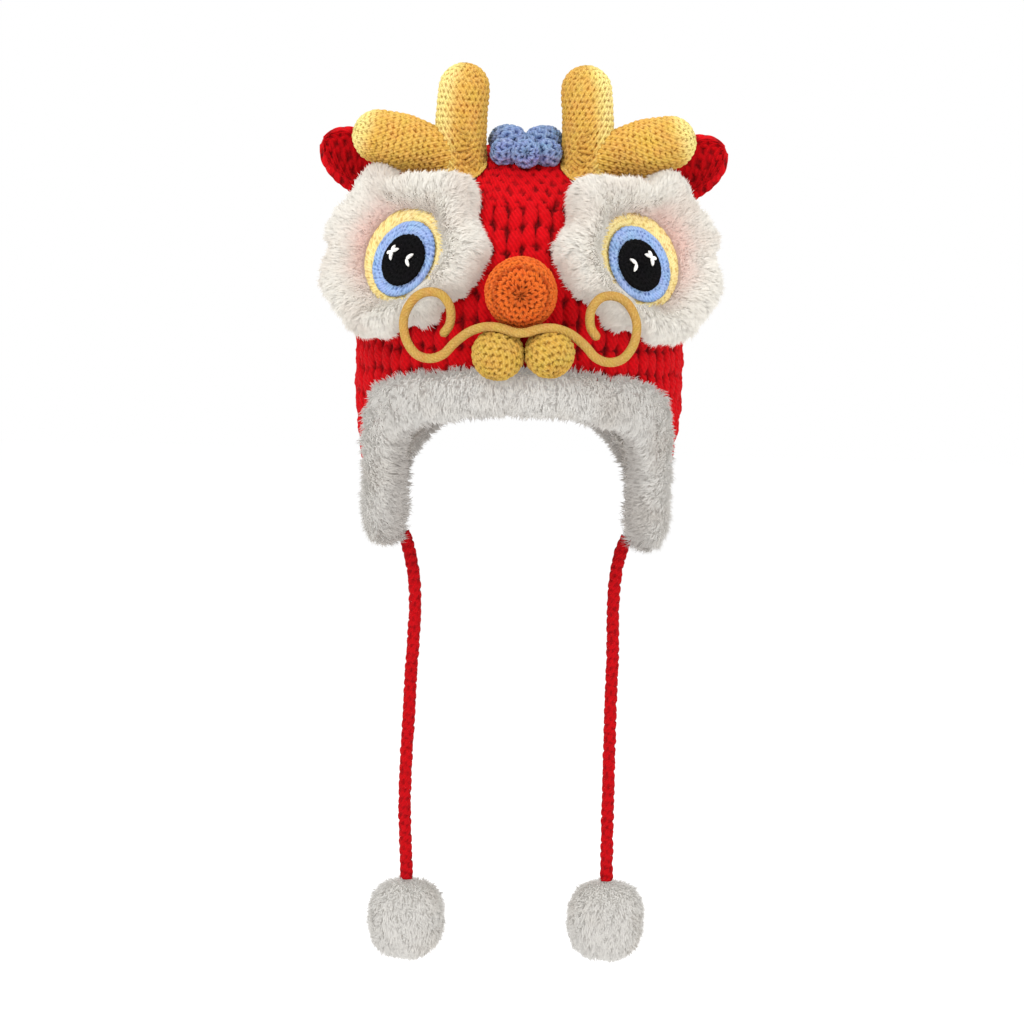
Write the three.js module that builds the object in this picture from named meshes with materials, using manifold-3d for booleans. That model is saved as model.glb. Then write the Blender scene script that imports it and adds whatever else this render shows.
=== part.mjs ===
// A child's crocheted dragon hat with a plush lining, ear flaps and two ties that end in pompoms.
//
// Millimetres, +Z up. The face looks along -Y and +X is to the right of someone who looks at the face.
// The origin is the top of the head hollow, where the hat sits on a head.
// Pieces named left are on the -X side, those named right on the +X side.
//
// The crown is a knitted wall on a superelliptic dome with an elliptic skirt. Its rim runs level over
// the brow and the nape and hangs down at both sides as ear flaps. The lining follows it inside, and a
// deep fur trim wraps the rim. The face is sewn on: fur patches with crocheted eyes, a nose, two muzzle
// balls, a whisker cord with a curl at each end, antlers, ears and a flower.

import * as THREE from 'three';
import { mergeVertices } from 'three/addons/utils/BufferGeometryUtils.js';
import Module from 'manifold-3d';

const wasm = await Module();
wasm.setup();

// Clearance between neighbouring pieces
const GAP = 0.3;

// Walls, from outside to inside
const CROCHET_WALL = 4;
const LINING_WALL = 7;
const WALL = CROCHET_WALL + GAP + LINING_WALL;

// Crown: outer half sizes, the dome and the straight skirt under it. The lining's top is at 0.
const CROWN_HALF_WIDTH = 88;
const CROWN_HALF_DEPTH = 100;
const DOME_FULLNESS = 2.3;
const DOME_HEIGHT = 106.3;
const SKIRT_HEIGHT = 26;
const SHOULDER_Z = WALL - DOME_HEIGHT;
const BROW_Z = SHOULDER_Z - SKIRT_HEIGHT;

// Ear flaps: how far they hang below the brow and how far their tips lean in towards the cheeks
const FLAP_LENGTH = 75;
const FLAP_LEAN = 13;
const FLAP_LEAN_POWER = 1.5;

// Half of the rim, from the middle of the front round to the middle of the back.
// turn is the angle round from the front, hang the share of the flap's length below the brow, and
// cuff the share of the fur cuff's height.
const RIM = [
  { turn: 0, hang: 0, cuff: 1 },
  { turn: 15, hang: 0.015, cuff: 1 },
  { turn: 28, hang: 0.06, cuff: 1.05 },
  { turn: 40, hang: 0.12, cuff: 1.3 },
  { turn: 49, hang: 0.22, cuff: 1.6 },
  { turn: 55, hang: 0.36, cuff: 1.3 },
  { turn: 59, hang: 0.52, cuff: 1 },
  { turn: 64, hang: 0.72, cuff: 1 },
  { turn: 74, hang: 0.92, cuff: 1 },
  { turn: 87, hang: 1, cuff: 1 },
  { turn: 100, hang: 0.94, cuff: 1 },
  { turn: 109, hang: 0.8, cuff: 1 },
  { turn: 116, hang: 0.64, cuff: 1 },
  { turn: 123, hang: 0.5, cuff: 1 },
  { turn: 131, hang: 0.38, cuff: 1 },
  { turn: 139, hang: 0.27, cuff: 1 },
  { turn: 147, hang: 0.16, cuff: 1 },
  { turn: 156, hang: 0.07, cuff: 1 },
  { turn: 167, hang: 0.015, cuff: 1 },
  { turn: 180, hang: 0, cuff: 1 },
];

// Facets of the walls: columns round, rows up the dome in degrees, and rows down the skirt
const WALL_COLUMNS = 48;
const OUTER_RISES = [68, 48, 31, 15, 0];
const INNER_RISES = [58, 28, 0];
const SKIRT_ROWS = 3;

// Fur trim: height of the cuff on the outside, depth of fur below the edge, and pile outwards
const TRIM_CUFF = 15;
const TRIM_BELOW = 10;
const TRIM_PILE = 10;
const TRIM_COLUMNS = 68;
const TRIM_TUFT = 0.13;

// The trim's section: out is a share of the pile outwards, or of the wall inwards where it is
// negative, and along goes from the cuff's top at 0 to the lowest fur at 1.
const TRIM_SECTION = [
  { out: -0.2, along: 0.05 },
  { out: 0.5, along: 0 },
  { out: 0.9, along: 0.22 },
  { out: 1, along: 0.52 },
  { out: 0.75, along: 0.82 },
  { out: -0.1, along: 1 },
  { out: -0.8, along: 1 },
  { out: -1.25, along: 0.84 },
  { out: -0.95, along: 0.63 },
  { out: -0.5, along: 0.5 },
];

// Eye patches: a thick oval of fur that turns outwards and tips back, standing proud of the crown
const PATCH_CENTRE = new THREE.Vector3(60.7, -72.5, -50);
const PATCH_YAW = THREE.MathUtils.degToRad(32);
const PATCH_PITCH = THREE.MathUtils.degToRad(12);
const PATCH_RADIUS = 50;
const PATCH_PILE = 14;
const PATCH_COLUMNS = 32;
const PATCH_TUFT = 1.8;

// The patch's lobed outline: angle counts from the side next to the nose up over the top,
// reach is a share of the patch's radius.
const PATCH_OUTLINE = [
  { angle: 6, reach: 1.04 },
  { angle: 24, reach: 0.97 },
  { angle: 45, reach: 1.12 },
  { angle: 68, reach: 0.98 },
  { angle: 101, reach: 0.92 },
  { angle: 120, reach: 1.09 },
  { angle: 142, reach: 0.93 },
  { angle: 165, reach: 0.97 },
  { angle: 180, reach: 0.88 },
  { angle: 200, reach: 0.99 },
  { angle: 220, reach: 0.94 },
  { angle: 243, reach: 0.97 },
  { angle: 262, reach: 0.9 },
  { angle: 285, reach: 0.84 },
  { angle: 308, reach: 0.87 },
  { angle: 338, reach: 0.93 },
];

// The patch's section from the eye's hollow over the fur's crest to the back:
// spread goes from the hollow's edge at 0 to the outline at 1, height is a share of the pile.
const PATCH_SECTION = [
  { spread: 0, height: 0.1 },
  { spread: 0.14, height: 0.62 },
  { spread: 0.4, height: 1 },
  { spread: 0.74, height: 0.92 },
  { spread: 1, height: 0.25 },
  { spread: 0.92, height: -0.4 },
  { spread: 0.45, height: -0.6 },
];

// Eyes: three oval crocheted discs, one on the other. The long axis leans towards the nose at the
// top, and the eye lies a little off the patch's middle.
const EYE_HALF = 24.4;
const EYE_THICKNESS = 3;
const EYE_LEAN = THREE.MathUtils.degToRad(21);
const EYE_INWARDS = 3;
const EYE_DOWN = 2.4;

// Each disc's half axes and its own offsets towards the nose and down the patch are shares of the
// eye's half size, and thick is a share of its thickness.
const EYE_DISCS = [
  { name: 'eye_rim', long: 1, short: 0.967, thick: 1, inwards: 0, down: 0 },
  { name: 'iris', long: 0.861, short: 0.73, thick: 0.67, inwards: 0.049, down: 0.066 },
  { name: 'pupil', long: 0.566, short: 0.516, thick: 0.53, inwards: 0.107, down: 0.094 },
];
const EYE_COLUMNS = 16;

// A disc's rolled edge: size is a share of its half axes, height of its thickness
const EYE_DISC_EDGE = [
  { size: 0.94, height: 0 },
  { size: 1, height: 0.45 },
  { size: 0.92, height: 1 },
];

// Room between the eye and the fur round it
const HOLLOW_CLEARANCE = 1;

// Nose and muzzle balls, with the facets round and down each
const NOSE_RADIUS = 20;
const NOSE_CENTRE = new THREE.Vector3(0, -110.5, -67.5);
const NOSE_FACETS = [16, 12];
const MUZZLE_RADIUS = 13.1;
const MUZZLE_CENTRE = new THREE.Vector3(1.5, -112, -99.8);
const MUZZLE_FACETS = [12, 9];

// Whisker cord: half of its route, from under the nose out to the end of the curl, chosen by hand
const WHISKER_RADIUS = 2.1;
const WHISKER_SIDES = 6;
const WHISKER_STEPS = 54;
const WHISKER_ROUTE = [
  [0, -121.2, -88.2],
  [5.9, -121.2, -86.6],
  [12, -120, -85.9],
  [19, -117.5, -86.2],
  [26.1, -113.5, -88.9],
  [33.1, -110, -94.5],
  [38.8, -107.8, -100.4],
  [45.9, -105, -102.6],
  [53, -102.5, -100.2],
  [58.2, -100, -92.3],
  [59.1, -99, -82.4],
  [55.1, -100, -73.7],
  [48.7, -102, -69.3],
  [40.9, -105, -69.9],
  [35.8, -107, -76.2],
  [35.6, -107, -84.7],
  [39.7, -106, -91.2],
];

// Antlers: an upright stem and a tine that reaches sideways. Places count from the root, aside and
// up as shares of the antler's height and forward towards the face, and radius is a share too.
const ANTLER_ROOT = new THREE.Vector3(31.5, -45, -16);
const ANTLER_HEIGHT = 53;
const ANTLER_RADIUS = 13.8;
const ANTLER_STEM = [
  { aside: 0, forward: 0, up: 0, radius: 1.04 },
  { aside: 0.03, forward: 0.02, up: 0.36, radius: 0.97 },
  { aside: 0.032, forward: 0.04, up: 0.68, radius: 0.96 },
  { aside: 0.02, forward: 0.057, up: 1, radius: 1 },
];
const ANTLER_TINE = [
  { aside: 0.03, forward: 0.02, up: 0.28, radius: 0.83 },
  { aside: 0.31, forward: 0.057, up: 0.38, radius: 0.91 },
  { aside: 0.594, forward: 0.094, up: 0.447, radius: 1.09 },
  { aside: 0.83, forward: 0.13, up: 0.51, radius: 0.99 },
];
const ANTLER_SIDES = 12;
const ANTLER_ROWS = 6;
const ANTLER_TIP_RISES = [30, 60];

// Ears: a cupped leaf behind each antler, from the side of the crown out to its blunt end
const EAR_ROOT = new THREE.Vector3(CROWN_HALF_WIDTH - 24, 4, -22);
const EAR_END = new THREE.Vector3(CROWN_HALF_WIDTH + 17.5, -13, 7);
const EAR_HALF_WIDTH = 21;
const EAR_CUP_RADIUS = 16;
const EAR_WALL = 4;
const EAR_ACROSS = 5;

// The ear's half width along its length, as a share of its greatest half width
const EAR_OUTLINE = [
  { along: 0, width: 0.62 },
  { along: 0.2, width: 0.86 },
  { along: 0.45, width: 1 },
  { along: 0.7, width: 0.95 },
  { along: 0.88, width: 0.82 },
  { along: 0.97, width: 0.58 },
];

// Flower: a ring of bobbles round a small one in the middle, tipped forward on the dome.
// turn is the bobble's place round the ring from the front, and reach and radius are shares of the
// ring's radius and of a front bobble's.
const FLOWER_CENTRE = new THREE.Vector3(1, -49, 7.4);
const FLOWER_TIP = THREE.MathUtils.degToRad(20);
const FLOWER_RING = 12;
const FLOWER_BOBBLE = 7.2;
const FLOWER_HEART = 6;
const FLOWER_FACETS = [9, 6];
const FLOWER_BOBBLES = [
  { turn: 0, reach: 1, radius: 1 },
  { turn: 70, reach: 1.03, radius: 0.97 },
  { turn: 138, reach: 1.15, radius: 1.25 },
  { turn: 222, reach: 1.15, radius: 1.25 },
  { turn: 290, reach: 1.03, radius: 0.97 },
];

// Ties: each route's points from the flap's tip down to the pompom, chosen by hand
const TIE_RADIUS = 3.2;
const TIE_SIDES = 8;
const TIE_STEPS = 18;
const TIE_ROUTES = {
  left: [
    [-60.5, 0, -199],
    [-58.6, 0, -204],
    [-56.4, 0.3, -212],
    [-54.6, 0.8, -221],
    [-53.6, 1.2, -231],
    [-53.3, 1.5, -243],
    [-53.8, 1.6, -256],
    [-54.5, 1.4, -270],
    [-55.1, 1, -284],
    [-55.4, 0.5, -298],
    [-56, 0, -312],
    [-56.5, -0.4, -326],
    [-56.8, -0.6, -340],
    [-56.5, -0.6, -354],
    [-55.9, -0.4, -367],
    [-55.2, -0.1, -379],
    [-54.8, 0, -388.2],
  ],
  right: [
    [60.5, 0, -199],
    [58.4, 0, -204],
    [56.3, 0.2, -211],
    [54.9, 0.6, -220],
    [54.1, 1, -230],
    [53.9, 1.2, -242],
    [54.2, 1.2, -255],
    [54.2, 1, -269],
    [53.9, 0.7, -283],
    [53.8, 0.3, -297],
    [53.8, 0, -311],
    [53.6, -0.3, -325],
    [53.6, -0.4, -339],
    [53.6, -0.4, -353],
    [53.7, -0.2, -366],
    [53.8, 0, -378],
    [53.9, 0, -386.8],
  ],
};

// Pompoms: fur balls a little squarer than a sphere
const POMPOM_HALF_WIDTH = 20;
const POMPOM_HALF_HEIGHT = 21;
const POMPOM_SQUARENESS = 2.8;
const POMPOM_COLUMNS = 14;
const POMPOM_ROWS = 9;
const POMPOM_TUFT = 1.6;

// Finishes
const redYarn = { color: '#d4101c', roughness: 0.85, metalness: 0 };
const goldYarn = { color: '#ecba55', roughness: 0.85, metalness: 0 };
const whiskerYarn = { color: '#dba949', roughness: 0.85, metalness: 0 };
const orangeYarn = { color: '#e9701f', roughness: 0.85, metalness: 0 };
const yellowYarn = { color: '#f3dd7c', roughness: 0.85, metalness: 0 };
const blueYarn = { color: '#7f9fd6', roughness: 0.85, metalness: 0 };
const blackYarn = { color: '#141214', roughness: 0.85, metalness: 0 };
const whiteFur = { color: '#efece6', roughness: 0.95, metalness: 0 };
const eyeFinishes = { eye_rim: yellowYarn, iris: blueYarn, pupil: blackYarn };

const hat = new THREE.Group();
const SIDES = { left: -1, right: 1 };
const FULL_TURN = 2 * Math.PI;
const degrees = THREE.MathUtils.degToRad;
const lerp = THREE.MathUtils.lerp;

function addPiece(name, finish, geometry) {
  const mesh = new THREE.Mesh(geometry, new THREE.MeshStandardMaterial(finish));
  mesh.name = name;
  hat.add(mesh);
}

// Six times the volume that a triangle makes with the origin, with a sign for the way that it faces
function signedVolume(a, b, c) {
  return a.dot(new THREE.Vector3().crossVectors(b, c));
}

// A closed geometry from rings of points. A ring of one point is a pole that closes an end, and a
// looped body joins its last ring to its first. Each quad is split along its shorter diagonal, and
// the faces are turned to point outwards.
function ringGeometry(rings, looped = false) {
  const points = rings.flat();
  const starts = [];
  let count = 0;
  for (const ring of rings) {
    starts.push(count);
    count += ring.length;
  }
  const index = [];
  const bands = looped ? rings.length : rings.length - 1;
  for (let band = 0; band < bands; band += 1) {
    const next = (band + 1) % rings.length;
    const columns = Math.max(rings[band].length, rings[next].length);
    const corner = (ring, column) => starts[ring] + (column % rings[ring].length);
    for (let column = 0; column < columns; column += 1) {
      const a = corner(band, column);
      const b = corner(band, column + 1);
      const c = corner(next, column);
      const d = corner(next, column + 1);
      const acrossFirst = points[a].distanceTo(points[d]) <= points[b].distanceTo(points[c]);
      if (a === b || c === d || acrossFirst) {
        if (a !== b) index.push(a, b, d);
        if (c !== d) index.push(a, d, c);
      } else {
        index.push(a, b, c, b, d, c);
      }
    }
  }
  let volume = 0;
  for (let i = 0; i < index.length; i += 3) {
    volume += signedVolume(points[index[i]], points[index[i + 1]], points[index[i + 2]]);
  }
  if (volume < 0) index.reverse();
  const geometry = new THREE.BufferGeometry().setFromPoints(points);
  geometry.setIndex(index);
  return geometry;
}

// The solid of a closed geometry
function toSolid(geometry) {
  const bare = geometry.clone();
  bare.deleteAttribute('normal');
  bare.deleteAttribute('uv');
  const merged = mergeVertices(bare);
  return new wasm.Manifold(new wasm.Mesh({
    numProp: 3,
    vertProperties: new Float32Array(merged.attributes.position.array),
    triVerts: new Uint32Array(merged.index.array),
  }));
}

// The geometry of a solid
function toGeometry(solid) {
  const mesh = solid.getMesh();
  const geometry = new THREE.BufferGeometry();
  geometry.setAttribute('position', new THREE.BufferAttribute(mesh.vertProperties, mesh.numProp));
  geometry.setIndex(new THREE.BufferAttribute(mesh.triVerts, 1));
  return geometry;
}

// A geometry with each of the cutters taken out of it
function cutBy(geometry, cutters) {
  let solid = toSolid(geometry);
  for (const cutter of cutters) solid = solid.subtract(toSolid(cutter));
  return toGeometry(solid);
}

// A tube with flat ends along a smooth curve through the points
function tubeGeometry(points, radius, sides, steps) {
  const section = new THREE.Shape();
  for (let side = 0; side < sides; side += 1) {
    const angle = (FULL_TURN * side) / sides;
    section[side === 0 ? 'moveTo' : 'lineTo'](radius * Math.cos(angle), radius * Math.sin(angle));
  }
  section.closePath();
  const route = new THREE.CatmullRomCurve3(points.map((point) => new THREE.Vector3(...point)));
  return new THREE.ExtrudeGeometry(section, { steps, extrudePath: route, bevelEnabled: false });
}

// The crown's walls

// A point on the dome: turn goes round from the front, rise from the shoulder at 0 up to the top at
// a quarter turn, and inset is the depth inside the outer face.
function domePoint(turn, rise, inset) {
  const spread = Math.max(0, Math.cos(rise)) ** (2 / DOME_FULLNESS);
  const lift = Math.sin(rise) ** (2 / DOME_FULLNESS);
  return new THREE.Vector3(
    (CROWN_HALF_WIDTH - inset) * spread * Math.sin(turn),
    -(CROWN_HALF_DEPTH - inset) * spread * Math.cos(turn),
    SHOULDER_Z + (DOME_HEIGHT - inset) * lift,
  );
}

// How far the wall leans in at a height below the brow
function leanAt(z) {
  const hang = Math.max(0, BROW_Z - z) / FLAP_LENGTH;
  return FLAP_LEAN * hang ** FLAP_LEAN_POWER;
}

// A point on the skirt or a flap
function skirtPoint(turn, z, inset) {
  return new THREE.Vector3(
    (CROWN_HALF_WIDTH - leanAt(z) - inset) * Math.sin(turn),
    -(CROWN_HALF_DEPTH - leanAt(z) - inset) * Math.cos(turn),
    z,
  );
}

// The cuff's share at a turn, between the rows of the rim
function cuffAt(turn) {
  const place = THREE.MathUtils.radToDeg(Math.abs(turn));
  const above = Math.max(1, RIM.findIndex((row) => row.turn >= place));
  const [last, next] = [RIM[above - 1], RIM[above]];
  return THREE.MathUtils.mapLinear(place, last.turn, next.turn, last.cuff, next.cuff);
}

// The whole rim as stations evenly spaced along its edge. Each has its turn and height, its share of
// the cuff, out, which points away from the wall, and beyond, which lies in the wall and points off
// its edge.
function rimStations(count) {
  const half = RIM.map((row) => ({ turn: degrees(row.turn), z: BROW_Z - row.hang * FLAP_LENGTH }));
  const back = half.slice(1, -1).reverse().map((row) => ({ turn: FULL_TURN - row.turn, z: row.z }));
  const points = [...half, ...back].map((row) => skirtPoint(row.turn, row.z, 0));
  const edge = new THREE.CatmullRomCurve3(points, true);
  return edge.getSpacedPoints(count).slice(0, count).map((point, station) => {
    const lean = leanAt(point.z);
    const across = point.x / (CROWN_HALF_WIDTH - lean);
    const turn = Math.atan2(across, -point.y / (CROWN_HALF_DEPTH - lean));
    const out = new THREE.Vector3(
      Math.sin(turn) / CROWN_HALF_WIDTH,
      -Math.cos(turn) / CROWN_HALF_DEPTH,
      0,
    ).normalize();
    const tangent = edge.getTangentAt(station / count);
    const beyond = new THREE.Vector3().crossVectors(tangent, out).normalize();
    const evenTurn = (turn + FULL_TURN) % FULL_TURN;
    return { turn: evenTurn, z: point.z, cuff: cuffAt(turn), out, beyond };
  });
}

// One face of a wall as rings, from the top of the dome down to the rim
function faceRings(inset, rises, grow) {
  const stations = rimStations(WALL_COLUMNS);
  const evenTurn = (column) => (FULL_TURN * column) / WALL_COLUMNS;
  const rings = [[domePoint(0, Math.PI / 2, inset)]];
  for (const rise of rises) {
    rings.push(stations.map((_, column) => domePoint(evenTurn(column), degrees(rise), inset)));
  }
  for (let row = 1; row <= SKIRT_ROWS; row += 1) {
    const share = row / SKIRT_ROWS;
    rings.push(stations.map((station, column) => {
      const turn = lerp(evenTurn(column), station.turn, share);
      const point = skirtPoint(turn, lerp(SHOULDER_Z, station.z, share), inset);
      return row === SKIRT_ROWS ? point.addScaledVector(station.beyond, grow) : point;
    }));
  }
  return rings;
}

// A wall between two faces, whose edge may reach a little past the rim
function wallGeometry(outerInset, outerRises, innerInset, innerRises, grow = 0) {
  const outer = faceRings(outerInset, outerRises, grow);
  const inner = faceRings(innerInset, innerRises, grow);
  return ringGeometry([...outer, ...inner.reverse()]);
}

// The space that the crown takes with its hollow, grown by the gap, for seating pieces on it
function crownSeat() {
  const floor = [new THREE.Vector3(0, 0, BROW_Z)];
  return ringGeometry([...faceRings(-GAP, OUTER_RISES, 0), floor]);
}

// The fur trim that wraps the rim

function trimGeometry() {
  const centre = { out: 0, along: 0.5 };
  const rings = rimStations(TRIM_COLUMNS).map((station, column) => {
    const edge = skirtPoint(station.turn, station.z, 0);
    return TRIM_SECTION.map((row, place) => {
      const tuft = 1 + TRIM_TUFT * ((column + place) % 2 === 0 ? 1 : -1);
      const out = lerp(centre.out, row.out, tuft);
      const along = lerp(centre.along, row.along, tuft);
      return edge.clone()
        .addScaledVector(station.out, out * (row.out < 0 ? WALL : TRIM_PILE))
        .addScaledVector(station.beyond, lerp(-TRIM_CUFF * station.cuff, TRIM_BELOW, along));
    });
  });
  return ringGeometry(rings, true);
}

// Eye patches and eyes

// A point of an eye's own frame: u towards the nose, v up the patch, w out of it
function patchPoint(side, u, v, w) {
  const towardsNose = new THREE.Vector3(-Math.cos(PATCH_YAW), -Math.sin(PATCH_YAW), 0);
  const outOf = new THREE.Vector3(
    Math.sin(PATCH_YAW) * Math.cos(PATCH_PITCH),
    -Math.cos(PATCH_YAW) * Math.cos(PATCH_PITCH),
    Math.sin(PATCH_PITCH),
  );
  const up = new THREE.Vector3().crossVectors(towardsNose, outOf).normalize();
  const point = PATCH_CENTRE.clone()
    .addScaledVector(towardsNose, u)
    .addScaledVector(up, v)
    .addScaledVector(outOf, w);
  point.x *= side;
  return point;
}

// The patch's radius in a direction, eased between the rows of its outline
function patchReach(angle) {
  const place = (THREE.MathUtils.radToDeg(angle) + 360) % 360;
  const above = PATCH_OUTLINE.findIndex((row) => row.angle > place);
  const next = PATCH_OUTLINE.at(above < 0 ? 0 : above);
  const last = PATCH_OUTLINE.at(above < 0 ? -1 : above - 1);
  const span = (next.angle - last.angle + 360) % 360;
  const share = ((place - last.angle + 360) % 360) / span;
  const eased = (1 - Math.cos(Math.PI * share)) / 2;
  return PATCH_RADIUS * lerp(last.reach, next.reach, eased);
}

function patchGeometry(side) {
  const hollow = EYE_HALF + HOLLOW_CLEARANCE;
  const rings = PATCH_SECTION.map((row, ring) => {
    const points = [];
    for (let column = 0; column < PATCH_COLUMNS; column += 1) {
      const angle = (FULL_TURN * column) / PATCH_COLUMNS;
      const tuft = row.spread > 0 ? PATCH_TUFT * ((column + ring) % 2 === 0 ? 1 : -1) : 0;
      const radius = lerp(hollow, patchReach(angle), row.spread) + tuft * row.spread;
      const height = PATCH_PILE * row.height + tuft;
      const u = lerp(EYE_INWARDS, 0, row.spread) + radius * Math.cos(angle);
      const v = lerp(-EYE_DOWN, 0, row.spread) + radius * Math.sin(angle);
      points.push(patchPoint(side, u, v, height));
    }
    return points;
  });
  const floor = PATCH_PILE * PATCH_SECTION[0].height;
  const front = [patchPoint(side, EYE_INWARDS, -EYE_DOWN, floor)];
  const back = [patchPoint(side, 0, 0, PATCH_PILE * PATCH_SECTION.at(-1).height)];
  return ringGeometry([front, ...rings, back]);
}

// A flat oval disc with a rolled edge, whose back lies at the height base over the patch
function discGeometry(side, disc, base) {
  const middleU = EYE_INWARDS + EYE_HALF * disc.inwards;
  const middleV = -EYE_DOWN - EYE_HALF * disc.down;
  const thickness = EYE_THICKNESS * disc.thick;
  const rings = EYE_DISC_EDGE.map((layer) => {
    const points = [];
    for (let column = 0; column < EYE_COLUMNS; column += 1) {
      const angle = (FULL_TURN * column) / EYE_COLUMNS;
      const long = EYE_HALF * disc.long * layer.size * Math.cos(angle);
      const short = EYE_HALF * disc.short * layer.size * Math.sin(angle);
      const u = middleU + long * Math.sin(EYE_LEAN) + short * Math.cos(EYE_LEAN);
      const v = middleV + long * Math.cos(EYE_LEAN) - short * Math.sin(EYE_LEAN);
      points.push(patchPoint(side, u, v, base + thickness * layer.height));
    }
    return points;
  });
  const back = [patchPoint(side, middleU, middleV, base)];
  const front = [patchPoint(side, middleU, middleV, base + thickness)];
  return ringGeometry([back, ...rings, front]);
}

// Nose, muzzle and whiskers

function ballGeometry(centre, radius, facets) {
  return new THREE.SphereGeometry(radius, ...facets).translate(centre.x, centre.y, centre.z);
}

function muzzleCentre(side) {
  const offset = new THREE.Vector3(side * (MUZZLE_RADIUS + GAP / 2), 0, 0);
  return MUZZLE_CENTRE.clone().add(offset);
}

function whiskerGeometry(grow) {
  const mirrored = WHISKER_ROUTE.slice(1).reverse().map(([x, y, z]) => [-x, y, z]);
  const route = [...mirrored, ...WHISKER_ROUTE];
  return tubeGeometry(route, WHISKER_RADIUS + grow, WHISKER_SIDES, WHISKER_STEPS);
}

// Antlers

// A round limb through the stations, with a flat root and a domed tip
function limbGeometry(side, stations, grow) {
  const path = new THREE.CatmullRomCurve3(
    stations.map((station) => new THREE.Vector3(station.aside, -station.forward, station.up)
      .multiplyScalar(ANTLER_HEIGHT)
      .add(ANTLER_ROOT)),
  );
  const radii = new THREE.CatmullRomCurve3(
    stations.map((station, place) => new THREE.Vector3(place, ANTLER_RADIUS * station.radius, 0)),
  );
  const ringAt = (share, past, narrowing) => {
    const along = path.getTangent(share);
    const back = new THREE.Vector3(0, 1, 0).addScaledVector(along, -along.y).normalize();
    const across = new THREE.Vector3().crossVectors(along, back);
    const radius = radii.getPoint(share).y + grow;
    const centre = path.getPoint(share).addScaledVector(along, radius * past);
    const points = [];
    for (let column = 0; column < ANTLER_SIDES; column += 1) {
      const angle = (FULL_TURN * column) / ANTLER_SIDES;
      points.push(centre.clone()
        .addScaledVector(across, radius * narrowing * Math.cos(angle))
        .addScaledVector(back, radius * narrowing * Math.sin(angle)));
    }
    return points;
  };
  const rings = [[path.getPoint(0)]];
  for (let row = 0; row <= ANTLER_ROWS; row += 1) rings.push(ringAt(row / ANTLER_ROWS, 0, 1));
  for (const rise of ANTLER_TIP_RISES) {
    rings.push(ringAt(1, Math.sin(degrees(rise)), Math.cos(degrees(rise))));
  }
  const tipRadius = radii.getPoint(1).y + grow;
  rings.push([path.getPoint(1).addScaledVector(path.getTangent(1), tipRadius)]);
  for (const point of rings.flat()) point.x *= side;
  return ringGeometry(rings);
}

function antlerGeometry(side, grow) {
  const stem = toSolid(limbGeometry(side, ANTLER_STEM, grow));
  const tine = toSolid(limbGeometry(side, ANTLER_TINE, grow));
  return toGeometry(stem.add(tine));
}

// Ears

// A cupped leaf with an even wall. Its section is an arc that opens forwards and outwards.
function earGeometry(side) {
  const along = EAR_END.clone().sub(EAR_ROOT);
  const length = along.length();
  along.normalize();
  const up = new THREE.Vector3(0, 0, 1).addScaledVector(along, -along.z).normalize();
  const open = new THREE.Vector3().crossVectors(up, along).normalize();
  if (open.y > 0) open.negate();
  const arcPoint = (row, across, depth) => {
    const angle = (EAR_HALF_WIDTH * row.width * across) / EAR_CUP_RADIUS;
    const radius = EAR_CUP_RADIUS + depth;
    return EAR_ROOT.clone()
      .addScaledVector(along, length * row.along)
      .addScaledVector(up, radius * Math.sin(angle))
      .addScaledVector(open, -radius * Math.cos(angle) + EAR_CUP_RADIUS);
  };
  const rings = EAR_OUTLINE.map((row) => {
    const points = [];
    for (let place = 0; place <= EAR_ACROSS; place += 1) {
      points.push(arcPoint(row, (2 * place) / EAR_ACROSS - 1, EAR_WALL / 2));
    }
    for (let place = EAR_ACROSS; place >= 0; place -= 1) {
      points.push(arcPoint(row, (2 * place) / EAR_ACROSS - 1, -EAR_WALL / 2));
    }
    return points;
  });
  const root = [arcPoint(EAR_OUTLINE[0], 0, 0)];
  const end = [arcPoint({ along: 1, width: 0 }, 0, 0)];
  const all = [root, ...rings, end];
  for (const point of all.flat()) point.x *= side;
  return ringGeometry(all);
}

// Flower

function flowerGeometry() {
  let solid = toSolid(new THREE.SphereGeometry(FLOWER_HEART, ...FLOWER_FACETS));
  for (const bobble of FLOWER_BOBBLES) {
    const reach = FLOWER_RING * bobble.reach;
    const across = reach * Math.sin(degrees(bobble.turn));
    const back = -reach * Math.cos(degrees(bobble.turn));
    const ball = new THREE.SphereGeometry(FLOWER_BOBBLE * bobble.radius, ...FLOWER_FACETS);
    solid = solid.add(toSolid(ball.translate(across, back, 0)));
  }
  return toGeometry(solid)
    .rotateX(FLOWER_TIP)
    .translate(FLOWER_CENTRE.x, FLOWER_CENTRE.y, FLOWER_CENTRE.z);
}

// Ties and pompoms

function tieGeometry(name, grow) {
  return tubeGeometry(TIE_ROUTES[name], TIE_RADIUS + grow, TIE_SIDES, TIE_STEPS);
}

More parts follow.
